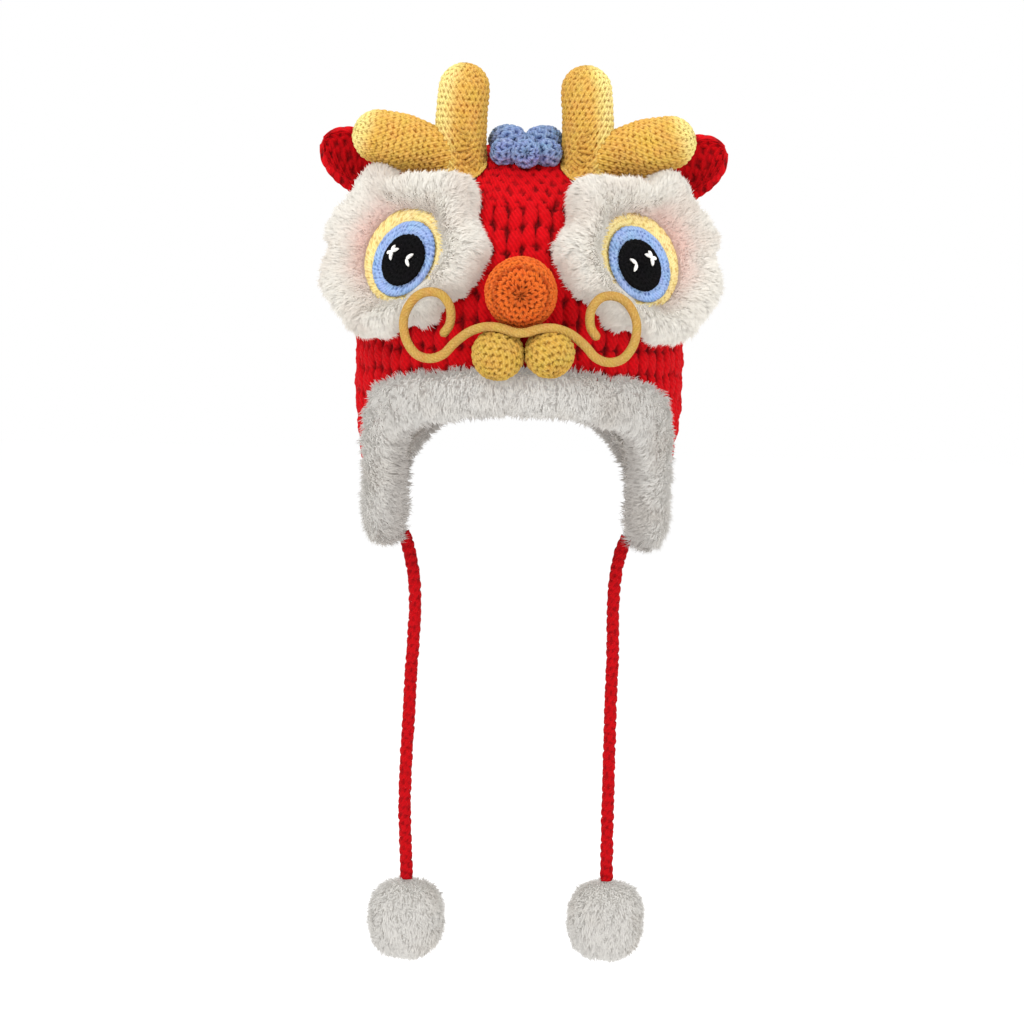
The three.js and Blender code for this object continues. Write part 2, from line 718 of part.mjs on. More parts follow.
// A tufted ball that hangs just below the end of its tie
function pompomGeometry(name) {
  const [endX, endY, endZ] = TIE_ROUTES[name].at(-1);
  const centre = new THREE.Vector3(endX, endY, endZ - GAP - POMPOM_HALF_HEIGHT);
  const surfacePoint = (turn, rise, tuft) => {
    const direction = new THREE.Vector3(
      Math.cos(rise) * Math.cos(turn),
      Math.cos(rise) * Math.sin(turn),
      Math.sin(rise),
    );
    const power = ['x', 'y', 'z'].reduce(
      (sum, axis) => sum + Math.abs(direction[axis]) ** POMPOM_SQUARENESS,
      0,
    );
    direction.multiplyScalar(power ** (-1 / POMPOM_SQUARENESS));
    return new THREE.Vector3(
      centre.x + direction.x * (POMPOM_HALF_WIDTH + tuft),
      centre.y + direction.y * (POMPOM_HALF_WIDTH + tuft),
      centre.z + direction.z * (POMPOM_HALF_HEIGHT + Math.min(tuft, 0)),
    );
  };
  const rings = [[surfacePoint(0, -Math.PI / 2, 0)]];
  for (let row = 1; row < POMPOM_ROWS; row += 1) {
    const rise = lerp(-Math.PI / 2, Math.PI / 2, row / POMPOM_ROWS);
    const ring = [];
    for (let column = 0; column < POMPOM_COLUMNS; column += 1) {
      const tuft = POMPOM_TUFT * ((column + row) % 2 === 0 ? 1 : -1);
      ring.push(surfacePoint((FULL_TURN * column) / POMPOM_COLUMNS, rise, tuft));
    }
    rings.push(ring);
  }
  rings.push([surfacePoint(0, Math.PI / 2, 0)]);
  return ringGeometry(rings);
}

// Assembly: soft pieces give way to the firmer ones that press into them
const seat = crownSeat();
const rimCutter = wallGeometry(-GAP, OUTER_RISES, WALL + GAP, INNER_RISES, GAP);
const whiskersGrown = whiskerGeometry(GAP);

addPiece('crown', redYarn, wallGeometry(0, OUTER_RISES, CROCHET_WALL, INNER_RISES));
addPiece('lining', whiteFur, wallGeometry(CROCHET_WALL + GAP, INNER_RISES, WALL, INNER_RISES));

const nose = ballGeometry(NOSE_CENTRE, NOSE_RADIUS, NOSE_FACETS);
addPiece('nose', orangeYarn, cutBy(nose, [seat]));
addPiece('whiskers', whiskerYarn, whiskerGeometry(0));
addPiece('bobble_flower', blueYarn, cutBy(flowerGeometry(), [seat]));

const trimCutters = [rimCutter];
for (const [name, side] of Object.entries(SIDES)) {
  const muzzleBall = ballGeometry(muzzleCentre(side), MUZZLE_RADIUS, MUZZLE_FACETS);
  addPiece(`muzzle_ball_${name}`, goldYarn, cutBy(muzzleBall, [seat]));
  trimCutters.push(ballGeometry(muzzleCentre(side), MUZZLE_RADIUS + GAP, MUZZLE_FACETS));
  trimCutters.push(tieGeometry(name, GAP));

  const antlerGrown = antlerGeometry(side, GAP);
  addPiece(`antler_${name}`, goldYarn, cutBy(antlerGeometry(side, 0), [seat]));
  addPiece(`ear_${name}`, redYarn, cutBy(earGeometry(side), [seat, antlerGrown]));
  const patch = cutBy(patchGeometry(side), [seat, antlerGrown, whiskersGrown]);
  addPiece(`eye_patch_${name}`, whiteFur, patch);

  let base = PATCH_PILE * PATCH_SECTION[0].height + GAP;
  for (const disc of EYE_DISCS) {
    addPiece(`${disc.name}_${name}`, eyeFinishes[disc.name], discGeometry(side, disc, base));
    base += EYE_THICKNESS * disc.thick + GAP;
  }

  addPiece(`tie_${name}`, redYarn, tieGeometry(name, 0));
  addPiece(`pompom_${name}`, whiteFur, pompomGeometry(name));
}
addPiece('fur_trim', whiteFur, cutBy(trimGeometry(), trimCutters));

export default hat;
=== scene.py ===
"""A child's crocheted dragon hat with fur trim, ear flaps and pompom ties, dressed round its CAD frame.

Metres, +Z up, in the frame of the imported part. The face looks along -Y, +X is to the right of someone
who looks at the face, and the origin is the top of the head hollow. Pieces named left are on -X and
pieces named right on +X.

Every piece is a surface worked out with numpy. Crochet is a plain form, such as a ball, a limb or the
crown's dome, whose skin rises and falls with the stitches that are worked round it. Fur is a pelt with
tapered tufts set into it.
"""

from __future__ import annotations

import logging
import math
from collections.abc import Callable
from dataclasses import dataclass, field
from enum import Enum

import bpy
import numpy as np
from mathutils import Matrix, Vector


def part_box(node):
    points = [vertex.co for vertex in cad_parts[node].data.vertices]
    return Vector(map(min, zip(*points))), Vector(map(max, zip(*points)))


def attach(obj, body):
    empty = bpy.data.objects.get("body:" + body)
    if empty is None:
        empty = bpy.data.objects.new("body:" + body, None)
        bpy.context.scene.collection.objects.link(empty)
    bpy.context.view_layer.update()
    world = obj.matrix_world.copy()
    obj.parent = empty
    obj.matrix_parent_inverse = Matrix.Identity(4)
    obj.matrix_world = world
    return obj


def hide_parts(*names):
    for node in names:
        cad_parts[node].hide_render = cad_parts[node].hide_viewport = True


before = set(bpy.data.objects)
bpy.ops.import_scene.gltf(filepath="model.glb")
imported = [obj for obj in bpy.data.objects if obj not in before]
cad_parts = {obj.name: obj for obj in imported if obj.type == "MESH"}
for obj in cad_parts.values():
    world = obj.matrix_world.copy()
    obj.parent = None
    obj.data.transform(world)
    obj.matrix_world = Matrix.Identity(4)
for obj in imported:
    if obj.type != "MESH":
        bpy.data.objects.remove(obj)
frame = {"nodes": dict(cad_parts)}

Array = np.ndarray
Surface = Callable[[Array, Array], Array]

log = logging.getLogger("dragon_hat")

MM = 0.001
FULL_TURN = 2 * math.pi
SIDES = {"left": -1, "right": 1}
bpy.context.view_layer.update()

# Clearance between pieces that press on each other
GAP = 0.3 * MM


def linear(colour: str) -> tuple[float, float, float, float]:
    """Turns an sRGB hex colour into linear red, green, blue and alpha.

    Args:
        colour: the colour, such as "#d4101c".

    Returns:
        The four linear values, with alpha 1.
    """
    shares = [int(colour[place:place + 2], 16) / 255 for place in (1, 3, 5)]
    red, green, blue = (s / 12.92 if s <= 0.04045 else ((s + 0.055) / 1.055) ** 2.4 for s in shares)
    return red, green, blue, 1.0


def unit(vectors: Array) -> Array:
    """Vectors scaled to length 1, whatever their number."""
    return vectors / np.maximum(np.linalg.norm(vectors, axis=-1, keepdims=True), 1e-12)


def between(start: Array, end: Array, share: Array) -> Array:
    """The points a share of the way from start to end."""
    return start + (end - start) * share


def step_up(values: Array, low: float, high: float) -> Array:
    """A smooth step: 0 below low, 1 above high, and 3s² - 2s³ between them."""
    share = np.clip((values - low) / (high - low), 0, 1)
    return share * share * (3 - 2 * share)


def scatter(first: Array, second: Array, salt: float = 0.0) -> Array:
    """A repeatable number from 0 to 1 for each pair of whole numbers: the tail of a large sine."""
    return np.mod(np.sin(first * 12.9898 + second * 78.233 + salt * 37.719) * 43758.5453, 1.0)


def spline(points: Array, count: int, closed: bool = False) -> Array:
    """Points evenly spaced along a Catmull-Rom curve through chosen ones.

    Between b and c, with a before and d after, the curve is the cubic that passes through b and c
    with slopes (c - a) / 2 and (d - b) / 2.

    Args:
        points: the chosen points, one to a row, in any number of dimensions.
        count: how many points to return.
        closed: whether the last point joins the first.

    Returns:
        count points, one to a row.
    """
    steps = 24
    points = np.asarray(points, float)
    if closed:
        padded = np.vstack([points[-1:], points, points[:2]])
    else:
        before = 2 * points[:1] - points[1:2]
        after = 2 * points[-1:] - points[-2:-1]
        padded = np.vstack([before, points, after])
    a, b, c, d = (padded[k:len(padded) - 3 + k][:, None] for k in range(4))
    s = np.linspace(0, 1, steps, endpoint=False)[None, :, None]
    cubic = 2 * b + (c - a) * s + (2 * a - 5 * b + 4 * c - d) * s**2 + (3 * b - a - 3 * c + d) * s**3
    dense = (0.5 * cubic).reshape(-1, points.shape[1])
    dense = np.vstack([dense, points[:1] if closed else points[-1:]])
    run = np.r_[0, np.cumsum(np.linalg.norm(np.diff(dense, axis=0), axis=1))]
    places = np.linspace(0, run[-1], count, endpoint=not closed)
    return np.column_stack([np.interp(places, run, column) for column in dense.T])


def grid_normals(points: Array, looped: bool = False) -> Array:
    """Outward unit normals of a grid whose columns run round a closed form.

    The normal is the cross product of the steps to the neighbours along the row and along the
    column. The sum of point times normal is the form's volume, so its sign tells which way is out.

    Args:
        points: rows × columns × 3 points.
        looped: whether the last row joins the first.

    Returns:
        rows × columns × 3 unit vectors.
    """
    round_step = np.roll(points, -1, axis=1) - np.roll(points, 1, axis=1)
    if looped:
        down_step = np.roll(points, -1, axis=0) - np.roll(points, 1, axis=0)
    else:
        down_step = np.gradient(points, axis=0)
    cross = np.cross(round_step, down_step)
    middle = points.mean(axis=(0, 1))
    outward = np.sign(np.sum((points - middle) * cross)) or 1.0
    return unit(cross * outward)


class MeshBuilder:
    """Collects the skins and strands of one piece and makes its mesh."""

    def __init__(self) -> None:
        """Starts with nothing in the mesh."""
        self.vertices: list[Array] = []
        self.normals: list[Array] = []
        self.relief: list[Array] = []
        self.tint: list[Array] = []
        self.faces: dict[int, list[Array]] = {3: [], 4: []}
        self.places: dict[int, list[Array]] = {3: [], 4: []}
        self.count = 0

    def add_vertices(
        self, points: Array, normals: Array, relief: Array | float, tint: Array | float = 0.0
    ) -> int:
        """Adds vertices with their normals, relief and tint, and returns the first one's number."""
        first = self.count
        self.vertices.append(points.reshape(-1, 3))
        self.normals.append(normals.reshape(-1, 3))
        self.relief.append(np.broadcast_to(relief, points.shape[:-1]).ravel())
        self.tint.append(np.broadcast_to(tint, points.shape[:-1]).ravel())
        self.count += points.size // 3
        return first

    def add_skin(
        self, points: Array, places: Array, relief: Array | float, looped: bool = False,
        tint: Array | float = 0.0,
    ) -> None:
        """Adds a closed surface from a grid whose columns run round it.

        Rows are joined by quads. Where the rows don't loop, each end is closed by a fan of
        triangles to the middle of its row. Faces are turned outwards by the sign of the volume.

        Args:
            points: rows × columns × 3 points in metres.
            places: UV of each corner, with one column more, and one row more where looped.
            relief: rows × columns numbers, how high the yarn lies there.
            looped: whether the last row joins the first.
            tint: rows × columns numbers, how much of the finish's second colour shows.
        """
        rows, columns = points.shape[:2]
        normals = grid_normals(points, looped)
        first = self.add_vertices(points, normals, relief, tint)
        ends = [np.broadcast_to(values, (rows, columns)) for values in (relief, tint)]
        index = first + np.arange(rows * columns).reshape(rows, columns)
        if looped:
            index = np.vstack([index, index[:1]])
        index = np.hstack([index, index[:, :1]])
        quads = np.stack([index[:-1, :-1], index[:-1, 1:], index[1:, 1:], index[1:, :-1]], axis=-1)
        quad_places = np.stack([places[:-1, :-1], places[:-1, 1:], places[1:, 1:], places[1:, :-1]], axis=2)
        quads = quads.reshape(-1, 4)
        quad_places = quad_places.reshape(-1, 4, 2)
        fans, fan_places = [], []
        for row, step in (() if looped else ((0, 1), (-1, -1))):
            edge, edge_places = index[row], places[row]
            middle = points[row].mean(axis=0)
            outwards = unit(middle - points.mean(axis=(0, 1)))
            pole = self.add_vertices(middle[None], outwards[None], *(float(end[row].mean()) for end in ends))
            near, far = (edge[1:], edge[:-1]) if step == 1 else (edge[:-1], edge[1:])
            near_uv, far_uv = (
                (edge_places[1:], edge_places[:-1]) if step == 1 else (edge_places[:-1], edge_places[1:])
            )
            fans.append(np.stack([near, far, np.full(columns, pole)], axis=-1))
            fan_places.append(np.stack([near_uv, far_uv, (near_uv + far_uv) / 2], axis=1))
        flat = np.vstack(self.vertices)
        a, b, c, d = (flat[quads[:, k]] for k in range(4))
        volume = np.sum(a * np.cross(b, c)) + np.sum(a * np.cross(c, d))
        for fan in fans:
            volume += np.sum(flat[fan[:, 0]] * np.cross(flat[fan[:, 1]], flat[fan[:, 2]]))
        turn = slice(None, None, -1) if volume < 0 else slice(None)
        self.faces[4].append(quads[:, turn])
        self.places[4].append(quad_places[:, turn])
        self.faces[3] += [fan[:, turn] for fan in fans]
        self.places[3] += [uv[:, turn] for uv in fan_places]

    def add_strands(
        self, root: Array, middle: Array, tip: Array, outwards: Array, width: Array, tone: Array,
        tint: Array | float = 0.0,
    ) -> None:
        """Adds tapered flat strands, each a quad and a triangle.

        A strand's flat side faces outwards: its side vector is the cross product of its own
        direction and the skin's normal.

        Args:
            root: n × 3 points where the strands leave the skin.
            middle: n × 3 points halfway.
            tip: n × 3 end points.
            outwards: n × 3 unit normals of the skin, which also light the strands.
            width: n widths at the root.
            tone: n numbers from 0 to 1 that tell the strands apart in the finish.
            tint: n numbers, how much of the finish's second colour shows.
        """
        aside = unit(np.cross(tip - root, outwards)) * width[:, None] / 2
        corners = [root - aside, root + aside, middle + 0.85 * aside, middle - 0.85 * aside, tip]
        points = np.stack(corners, axis=1)
        face = np.cross(points[:, 1] - points[:, 0], points[:, 2] - points[:, 0])
        backwards = np.sum(face * outwards, axis=1) < 0
        points[backwards] = points[backwards][:, [1, 0, 3, 2, 4]]
        normals = np.repeat(outwards[:, None], 5, axis=1)
        tints = np.repeat(np.broadcast_to(tint, len(root))[:, None], 5, axis=1)
        first = self.add_vertices(points, normals, 1.0, tints)
        start = first + 5 * np.arange(len(root))[:, None]
        self.faces[4].append(start + np.array([0, 1, 2, 3]))
        self.faces[3].append(start + np.array([3, 2, 4]))
        for corners_along in ((0.0, 0.0, 0.5, 0.5), (0.5, 0.5, 1.0)):
            along = np.tile(corners_along, (len(root), 1))
            across = np.repeat(tone[:, None], len(corners_along), axis=1)
            self.places[len(corners_along)].append(np.stack([across, along], axis=-1))

    def build(self, name: str) -> bpy.types.Object:
        """Makes the object.

        Args:
            name: the piece's name.

        Returns:
            The object at the origin, with its UV map and its relief and tint attributes.
        """
        faces = {sides: np.vstack(parts) for sides, parts in self.faces.items() if parts}
        loops = np.concatenate([part.ravel() for part in faces.values()])
        sizes = np.concatenate([np.full(len(part), sides) for sides, part in faces.items()])
        places = np.concatenate([np.concatenate(self.places[sides]).ravel() for sides in faces])
        mesh = bpy.data.meshes.new(name)
        mesh.vertices.add(self.count)
        mesh.vertices.foreach_set("co", np.vstack(self.vertices).ravel())
        mesh.loops.add(len(loops))
        mesh.loops.foreach_set("vertex_index", loops)
        mesh.polygons.add(len(sizes))
        mesh.polygons.foreach_set("loop_start", np.r_[0, np.cumsum(sizes)[:-1]])
        mesh.polygons.foreach_set("use_smooth", np.ones(len(sizes), bool))
        mesh.uv_layers.new(name="stitches").data.foreach_set("uv", places)
        for attribute, values in (("relief", self.relief), ("tint", self.tint)):
            data = mesh.attributes.new(attribute, "FLOAT", "POINT").data
            data.foreach_set("value", np.concatenate(values))
        mesh.update(calc_edges=True)
        piece = bpy.data.objects.new(name, mesh)
        bpy.context.scene.collection.objects.link(piece)
        return piece

    def light_by_skin(self, piece: bpy.types.Object) -> None:
        """Lights the strands as the skin under them, so that fur shades softly."""
        piece.data.normals_split_custom_set_from_vertices(np.vstack(self.normals))


# Stitches


class Stitch(Enum):
    """The kinds of stitch that the hat is worked in."""

    POST = "tall ribbed post stitch of the crown"
    VEE = "tight single crochet, a V of two yarns"


def leaf(across: Array, down: Array, middle: float, tilt: float) -> Array:
    """Height of one loop of yarn, a long round grain that leans by the tilt.

    The height is that of an ellipsoid: the root of 1 - (along / 0.62)² - (aside / 0.29)².
    """
    x, y = across - middle, down - 0.5
    along = x * math.sin(tilt) + y * math.cos(tilt)
    aside = x * math.cos(tilt) - y * math.sin(tilt)
    return np.sqrt(np.clip(1 - (along / 0.62) ** 2 - (aside / 0.29) ** 2, 0, 1))


def vee_relief(across: Array, down: Array) -> Array:
    """Height of a V of two loops that meet at the foot of the stitch, from -1 to 1."""
    loops = np.maximum(leaf(across, down, 0.27, 0.42), leaf(across, down, 0.73, -0.42))
    return 1.7 * loops - 0.85


def post_relief(across: Array, down: Array) -> Array:
    """Height of a plump post that stands proud at its head and tucks in at its foot, from -1 to 1.

    Across, the post is a half round that is widest halfway down. Down, it follows a circle whose
    highest place is above the middle. Two plies wind round it and show as slanting ridges.
    """
    side = 2 * across - 1
    reach = 0.64 + 0.42 * np.sin(math.pi * np.clip(down, 0, 1)) ** 0.7
    roundness = np.sqrt(np.clip(1 - (side / reach) ** 2, 0, 1))
    length = np.sqrt(np.clip(1 - ((down - 0.4) / 0.62) ** 2, 0, 1))
    plies = 0.24 * np.sin(FULL_TURN * (0.7 * side + 2.5 * down)) * roundness
    return 1.75 * roundness * length - 0.85 + plies


@dataclass(frozen=True)
class Rounds:
    """Stitches worked round a form, row under row, with more to a row where the form is wider.

    Attributes:
        kind: the stitch.
        width: the width of a stitch in metres.
        height: the height of a row in metres.
        depth: how far the yarn stands proud of the form and sinks into it.
        spiral: whether a row runs on into the next, as in a stuffed toy.
        unevenness: how far a stitch strays from its place and size, as a share of it.
        stagger: how far each row is shifted on from the one before, in stitches.
    """

    kind: Stitch
    width: float
    height: float
    depth: float
    spiral: bool = True
    unevenness: float = 0.22
    stagger: float = 0.37

    def relief(self, arc: Array, turn: Array, girth_at: Array, girth: Array) -> Array:
        """Heights of the stitches.

        The row is the whole part of the arc over the row's height. A row has as many stitches as
        fit its girth, and each is shifted and scaled a little at random.

        Args:
            arc: distance from the start of the work at each vertex.
            turn: place round the form from 0 to 1 at each vertex.
            girth_at: increasing arcs at which the girth is known.
            girth: the girth at those arcs.

        Returns:
            A height from about -1 to 1 for each vertex.
        """
        swells = max(1, round(float(np.max(girth)) / self.width / 4))
        wave = np.sin(FULL_TURN * swells * turn)
        wave = wave + np.sin(FULL_TURN * (swells + 1) * turn + arc / (2.3 * self.height))
        place = arc / self.height + (turn if self.spiral else 0) + 0.3 * self.unevenness * wave
        row = np.floor(place)
        count = np.maximum(6, np.round(np.interp((row + 0.5) * self.height, girth_at, girth) / self.width))
        column_place = turn * count + self.stagger * row
        column = np.mod(np.floor(column_place), count)
        sway = np.sin(math.pi * (place - row)) * self.unevenness
        across = np.mod(column_place, 1) + 0.6 * sway * (scatter(row, column) - 0.5)
        down = place - row + sway * (scatter(row, column, 2) - 0.5)
        shape = vee_relief if self.kind is Stitch.VEE else post_relief
        firmness = 1 + self.unevenness * 2 * (scatter(row, column, 1) - 0.5)
        return shape(np.clip(across, 0, 1), down) * firmness

    def dress(
        self, builder: MeshBuilder, points: Array, arc: Array, turn: Array, girth_at: Array, girth: Array,
        fade: Array | float = 1.0, tint: Array | float = 0.0,
    ) -> None:
        """Raises the stitches on a form and adds the skin to the builder.

        Args:
            builder: the mesh to add to.
            points: rows × columns × 3 points of the plain form.
            arc: rows × columns distances from the start of the work.
            turn: rows × columns places round the form, from 0 to 1.
            girth_at: increasing arcs at which the girth is known.
            girth: the girth at those arcs.
            fade: how much of the relief shows at each vertex.
            tint: how much of the finish's second colour shows at each vertex.
        """
        relief = self.relief(arc, turn, girth_at, girth) * fade
        raised = points + grid_normals(points) * (relief * self.depth)[..., None]
        round_turn = np.hstack([turn, turn[:, :1] + 1])
        round_arc = np.hstack([arc, arc[:, :1]])
        places = np.stack([round_turn * np.max(girth), round_arc], axis=-1) / MM
        builder.add_skin(raised, places, relief, tint=tint)


# Finishes


def add_node(
    tree: bpy.types.NodeTree, kind: str, inputs: dict[str | int, object] | None = None, **settings: object
) -> bpy.types.Node:
    """Adds a shader node.

    Args:
        tree: the node tree.
        kind: the node's type name after "ShaderNode".
        inputs: for each input, by name or number, the value to set or the socket to link to it.
        settings: the node's own properties.

    Returns:
        The new node.
    """
    node = tree.nodes.new("ShaderNode" + kind)
    for name, value in settings.items():
        setattr(node, name, value)
    for name, value in (inputs or {}).items():
        if isinstance(value, bpy.types.NodeSocket):
            tree.links.new(value, node.inputs[name])
        else:
            node.inputs[name].default_value = value
    return node


@dataclass(frozen=True)
class YarnFinish:
    """Soft spun yarn, crocheted: matt, a little fuzzy, with painted shade down between the stitches.

    Attributes:
        name: the material's name.
        lit: colour of the yarn that lies on top.
        shade: painted shade colour down between the stitches.
        fibre_highlight: painted highlight colour of the loose fibres, which catch the light.
        ply: spacing of the twisted plies in millimetres, drawn coarse enough to show.
        relief_low: relief at which the yarn is at its darkest.
        relief_high: relief at which it is fully lit.
        sheen: how much light the loose fibres scatter.
        painted_light_colour: painted light colour of the top where the tint attribute is 1: a highlight on the gold
            yarn, and shade on the others.
    """

    name: str
    lit: str
    shade: str
    fibre_highlight: str
    ply: float = 1.6
    relief_low: float = -0.85
    relief_high: float = 0.3
    sheen: float = 0.14
    painted_light_colour: str = ""

    def build(self) -> bpy.types.Material:
        """Makes the material from the relief, a twisted ply and fine fibre noise."""
        material = bpy.data.materials.new(self.name)
        material.use_nodes = True
        tree = material.node_tree
        tree.nodes.clear()
        coordinates = add_node(tree, "TexCoord")
        relief = add_node(tree, "Attribute", attribute_name="relief")
        height = add_node(tree, "MapRange", {
            "Value": relief.outputs["Fac"], "From Min": self.relief_low, "From Max": self.relief_high,
        })
        # Dye takes unevenly over a few stitches. Loose fibres lie under half a millimetre apart, and
        # are drawn at about 1.2 mm so that they still show at the photograph's size
        cloudy = add_node(tree, "TexNoise", {
            "Vector": coordinates.outputs["Object"], "Scale": 1 / (7 * MM), "Detail": 2.0,
        })
        fibres = add_node(tree, "TexNoise", {
            "Vector": coordinates.outputs["Object"], "Scale": 1 / (1.2 * MM), "Detail": 3.0, "Roughness": 0.65,
        })
        # The UV map counts millimetres, so that the ply's twist runs slantwise across each stitch
        slant = add_node(tree, "Mapping", {
            "Vector": coordinates.outputs["UV"], "Rotation": (0.0, 0.0, math.radians(38)),
        })
        # A wave of scale 1 repeats every 2π / 20, so the scale is that over the ply's spacing
        plies = add_node(tree, "TexWave", {
            "Vector": slant.outputs["Vector"], "Scale": FULL_TURN / 20 / self.ply,
            "Distortion": 1.2, "Detail": 1.0, "Detail Scale": 1.5,
        }, bands_direction="X")
        tint = add_node(tree, "Attribute", attribute_name="tint")
        # Painted light: where the tint attribute is 1, the top takes the second colour, a painted highlight on some
        # yarns and painted shade on others
        top = add_node(tree, "Mix", {
            0: tint.outputs["Fac"], 6: linear(self.lit), 7: linear(self.painted_light_colour or self.lit),
        }, data_type="RGBA")
        # Painted shade: the relief and the ply grooves mix the shade colour in down between the stitches and between
        # the plies
        grooves = add_node(tree, "MapRange", {"Value": plies.outputs["Fac"], "To Min": 0.72})
        lit = add_node(tree, "Math", {
            0: height.outputs["Result"], 1: grooves.outputs["Result"],
        }, operation="MULTIPLY")
        body = add_node(tree, "Mix", {
            0: lit.outputs["Value"], 6: linear(self.shade), 7: top.outputs[2],
        }, data_type="RGBA")
        dyed = add_node(tree, "Mix", {
            0: 0.28, 6: body.outputs[2], 7: cloudy.outputs["Color"],
        }, data_type="RGBA", blend_type="SOFT_LIGHT")
        # Painted highlight: where the fibre noise is high, the colour is mixed towards the lighter fibre highlight
        # colour
        loose_amount = add_node(tree, "MapRange", {
            "Value": fibres.outputs["Fac"], "From Min": 0.5, "From Max": 0.8, "To Max": 0.5,
        })
        fuzzy = add_node(tree, "Mix", {
            0: loose_amount.outputs["Result"], 6: dyed.outputs[2], 7: linear(self.fibre_highlight),
        }, data_type="RGBA")
        ply_bump = add_node(tree, "Bump", {
            "Strength": 0.55, "Distance": 0.45 * MM, "Height": plies.outputs["Fac"],
        })
        fibre_bump = add_node(tree, "Bump", {
            "Strength": 0.7, "Distance": 0.5 * MM, "Height": fibres.outputs["Fac"],
            "Normal": ply_bump.outputs["Normal"],
        })
        shader = add_node(tree, "BsdfPrincipled", {
            "Base Color": fuzzy.outputs[2], "Roughness": 0.9, "Specular IOR Level": 0.1,
            "Sheen Weight": self.sheen, "Sheen Roughness": 0.45, "Sheen Tint": linear(self.fibre_highlight),
            "Normal": fibre_bump.outputs["Normal"],
        })
        add_node(tree, "OutputMaterial", {"Surface": shader.outputs["BSDF"]})
        return material


@dataclass(frozen=True)
class FurFinish:
    """Acrylic faux fur: off-white and matt, with light tips and roots greyed by painted shade.

    Attributes:
        name: the material's name.
        tip: colour of the tips.
        root: painted shade colour down at the pelt.
        warm: colour of the places where the pile is pressed and the backing shows through.
        second_colour: colour where the tint attribute is 1: pink beside the eyes, and grey painted shade on the inner
            side of the trim.
        thinness: how much light goes through a strand.
        glow: how much painted light glows as emission at every depth of the pile, standing in for light that reaches
            it by way of other strands.
    """

    name: str
    tip: str
    root: str
    warm: str
    second_colour: str = "#f2cfc8"
    thinness: float = 0.4
    glow: float = 0.11

    def build(self) -> bpy.types.Material:
        """Makes the material: root to tip along each strand, tone by strand, and soft clouds."""
        material = bpy.data.materials.new(self.name)
        material.use_nodes = True
        tree = material.node_tree
        tree.nodes.clear()
        coordinates = add_node(tree, "TexCoord")
        parts = add_node(tree, "SeparateXYZ", {"Vector": coordinates.outputs["UV"]})
        along = add_node(tree, "MapRange", {"Value": parts.outputs["Y"], "From Max": 0.75})
        # Painted shade: each strand greys from its tip down to its root
        strand = add_node(tree, "Mix", {
            0: along.outputs["Result"], 6: linear(self.root), 7: linear(self.tip),
        }, data_type="RGBA")
        # Pressed places are two or three centimetres apart, as hands leave them
        clouds = add_node(tree, "TexNoise", {
            "Vector": coordinates.outputs["Object"], "Scale": 1 / (26 * MM), "Detail": 2.0,
        })
        pressed = add_node(tree, "MapRange", {
            "Value": clouds.outputs["Fac"], "From Min": 0.48, "From Max": 0.72, "To Max": 0.6,
        })
        cloudy = add_node(tree, "Mix", {
            0: pressed.outputs["Result"], 6: strand.outputs[2], 7: linear(self.warm),
        }, data_type="RGBA", blend_type="MULTIPLY")
        tint = add_node(tree, "Attribute", attribute_name="tint")
        with_second_colour = add_node(tree, "Mix", {
            0: tint.outputs["Fac"], 6: cloudy.outputs[2], 7: linear(self.second_colour),
        }, data_type="RGBA")
        tone = add_node(tree, "MapRange", {"Value": parts.outputs["X"], "To Min": 0.95, "To Max": 1.03})
        toned = add_node(tree, "HueSaturation", {
            "Color": with_second_colour.outputs[2], "Value": tone.outputs["Result"],
        })
        # Painted light: the emission makes the strands glow, standing in for light that comes through the pile
        shader = add_node(tree, "BsdfPrincipled", {
            "Base Color": toned.outputs["Color"], "Roughness": 0.9, "Specular IOR Level": 0.2,
            "Sheen Weight": 0.15, "Sheen Roughness": 0.5,
            "Emission Color": toned.outputs["Color"], "Emission Strength": self.glow / (1 - self.thinness),
        })
        through = add_node(tree, "BsdfTranslucent", {"Color": toned.outputs["Color"]})
        both = add_node(tree, "MixShader", {
            0: self.thinness, 1: shader.outputs["BSDF"], 2: through.outputs["BSDF"],
        })
        add_node(tree, "OutputMaterial", {"Surface": both.outputs["Shader"]})
        return material


# A yarn's second top colour is painted light where the tint attribute is 1: shade in the ears' cups, a highlight on
# the antlers' outer sides, shade in the nose's middle and its groove, and lavender shade under the bobbles
RED_YARN = YarnFinish(
    "crocheted_red_acrylic_yarn", "#c6040f", "#560204", "#cb101b", ply=2.2, sheen=0.02, painted_light_colour="#b4060f",
)
RED_CORD = YarnFinish("crocheted_red_cord", "#b4050e", "#8c040b", "#bc101a", sheen=0.02)
GOLD_YARN = YarnFinish(
    "crocheted_golden_cotton_yarn", "#d4a64e", "#8e5a14", "#eed084", relief_low=-1.0, painted_light_colour="#f2e492",
)
PALE_GOLD_YARN = YarnFinish(
    "crocheted_pale_golden_cotton_yarn", "#c69e46", "#7e5a16", "#e6cc80", relief_low=-0.95,
)
WHISKER_YARN = YarnFinish("wound_golden_yarn", "#b8914a", "#906a2c", "#dcc07c")
ORANGE_YARN = YarnFinish(
    "crocheted_orange_cotton_yarn", "#d66020", "#6e2404", "#f09450", relief_low=-0.95, painted_light_colour="#9c360c",
)
YELLOW_YARN = YarnFinish("crocheted_pale_yellow_yarn", "#efdb96", "#c8a65e", "#f8eec0")
BLUE_YARN = YarnFinish("crocheted_mid_blue_yarn", "#7a90b8", "#243464", "#c4d0e4", painted_light_colour="#8c8aba")
IRIS_YARN = YarnFinish("crocheted_light_blue_yarn", "#96b0dc", "#486298", "#c4d2ea")
BLACK_YARN = YarnFinish("crocheted_black_yarn", "#0a090b", "#020202", "#161417", sheen=0.02)
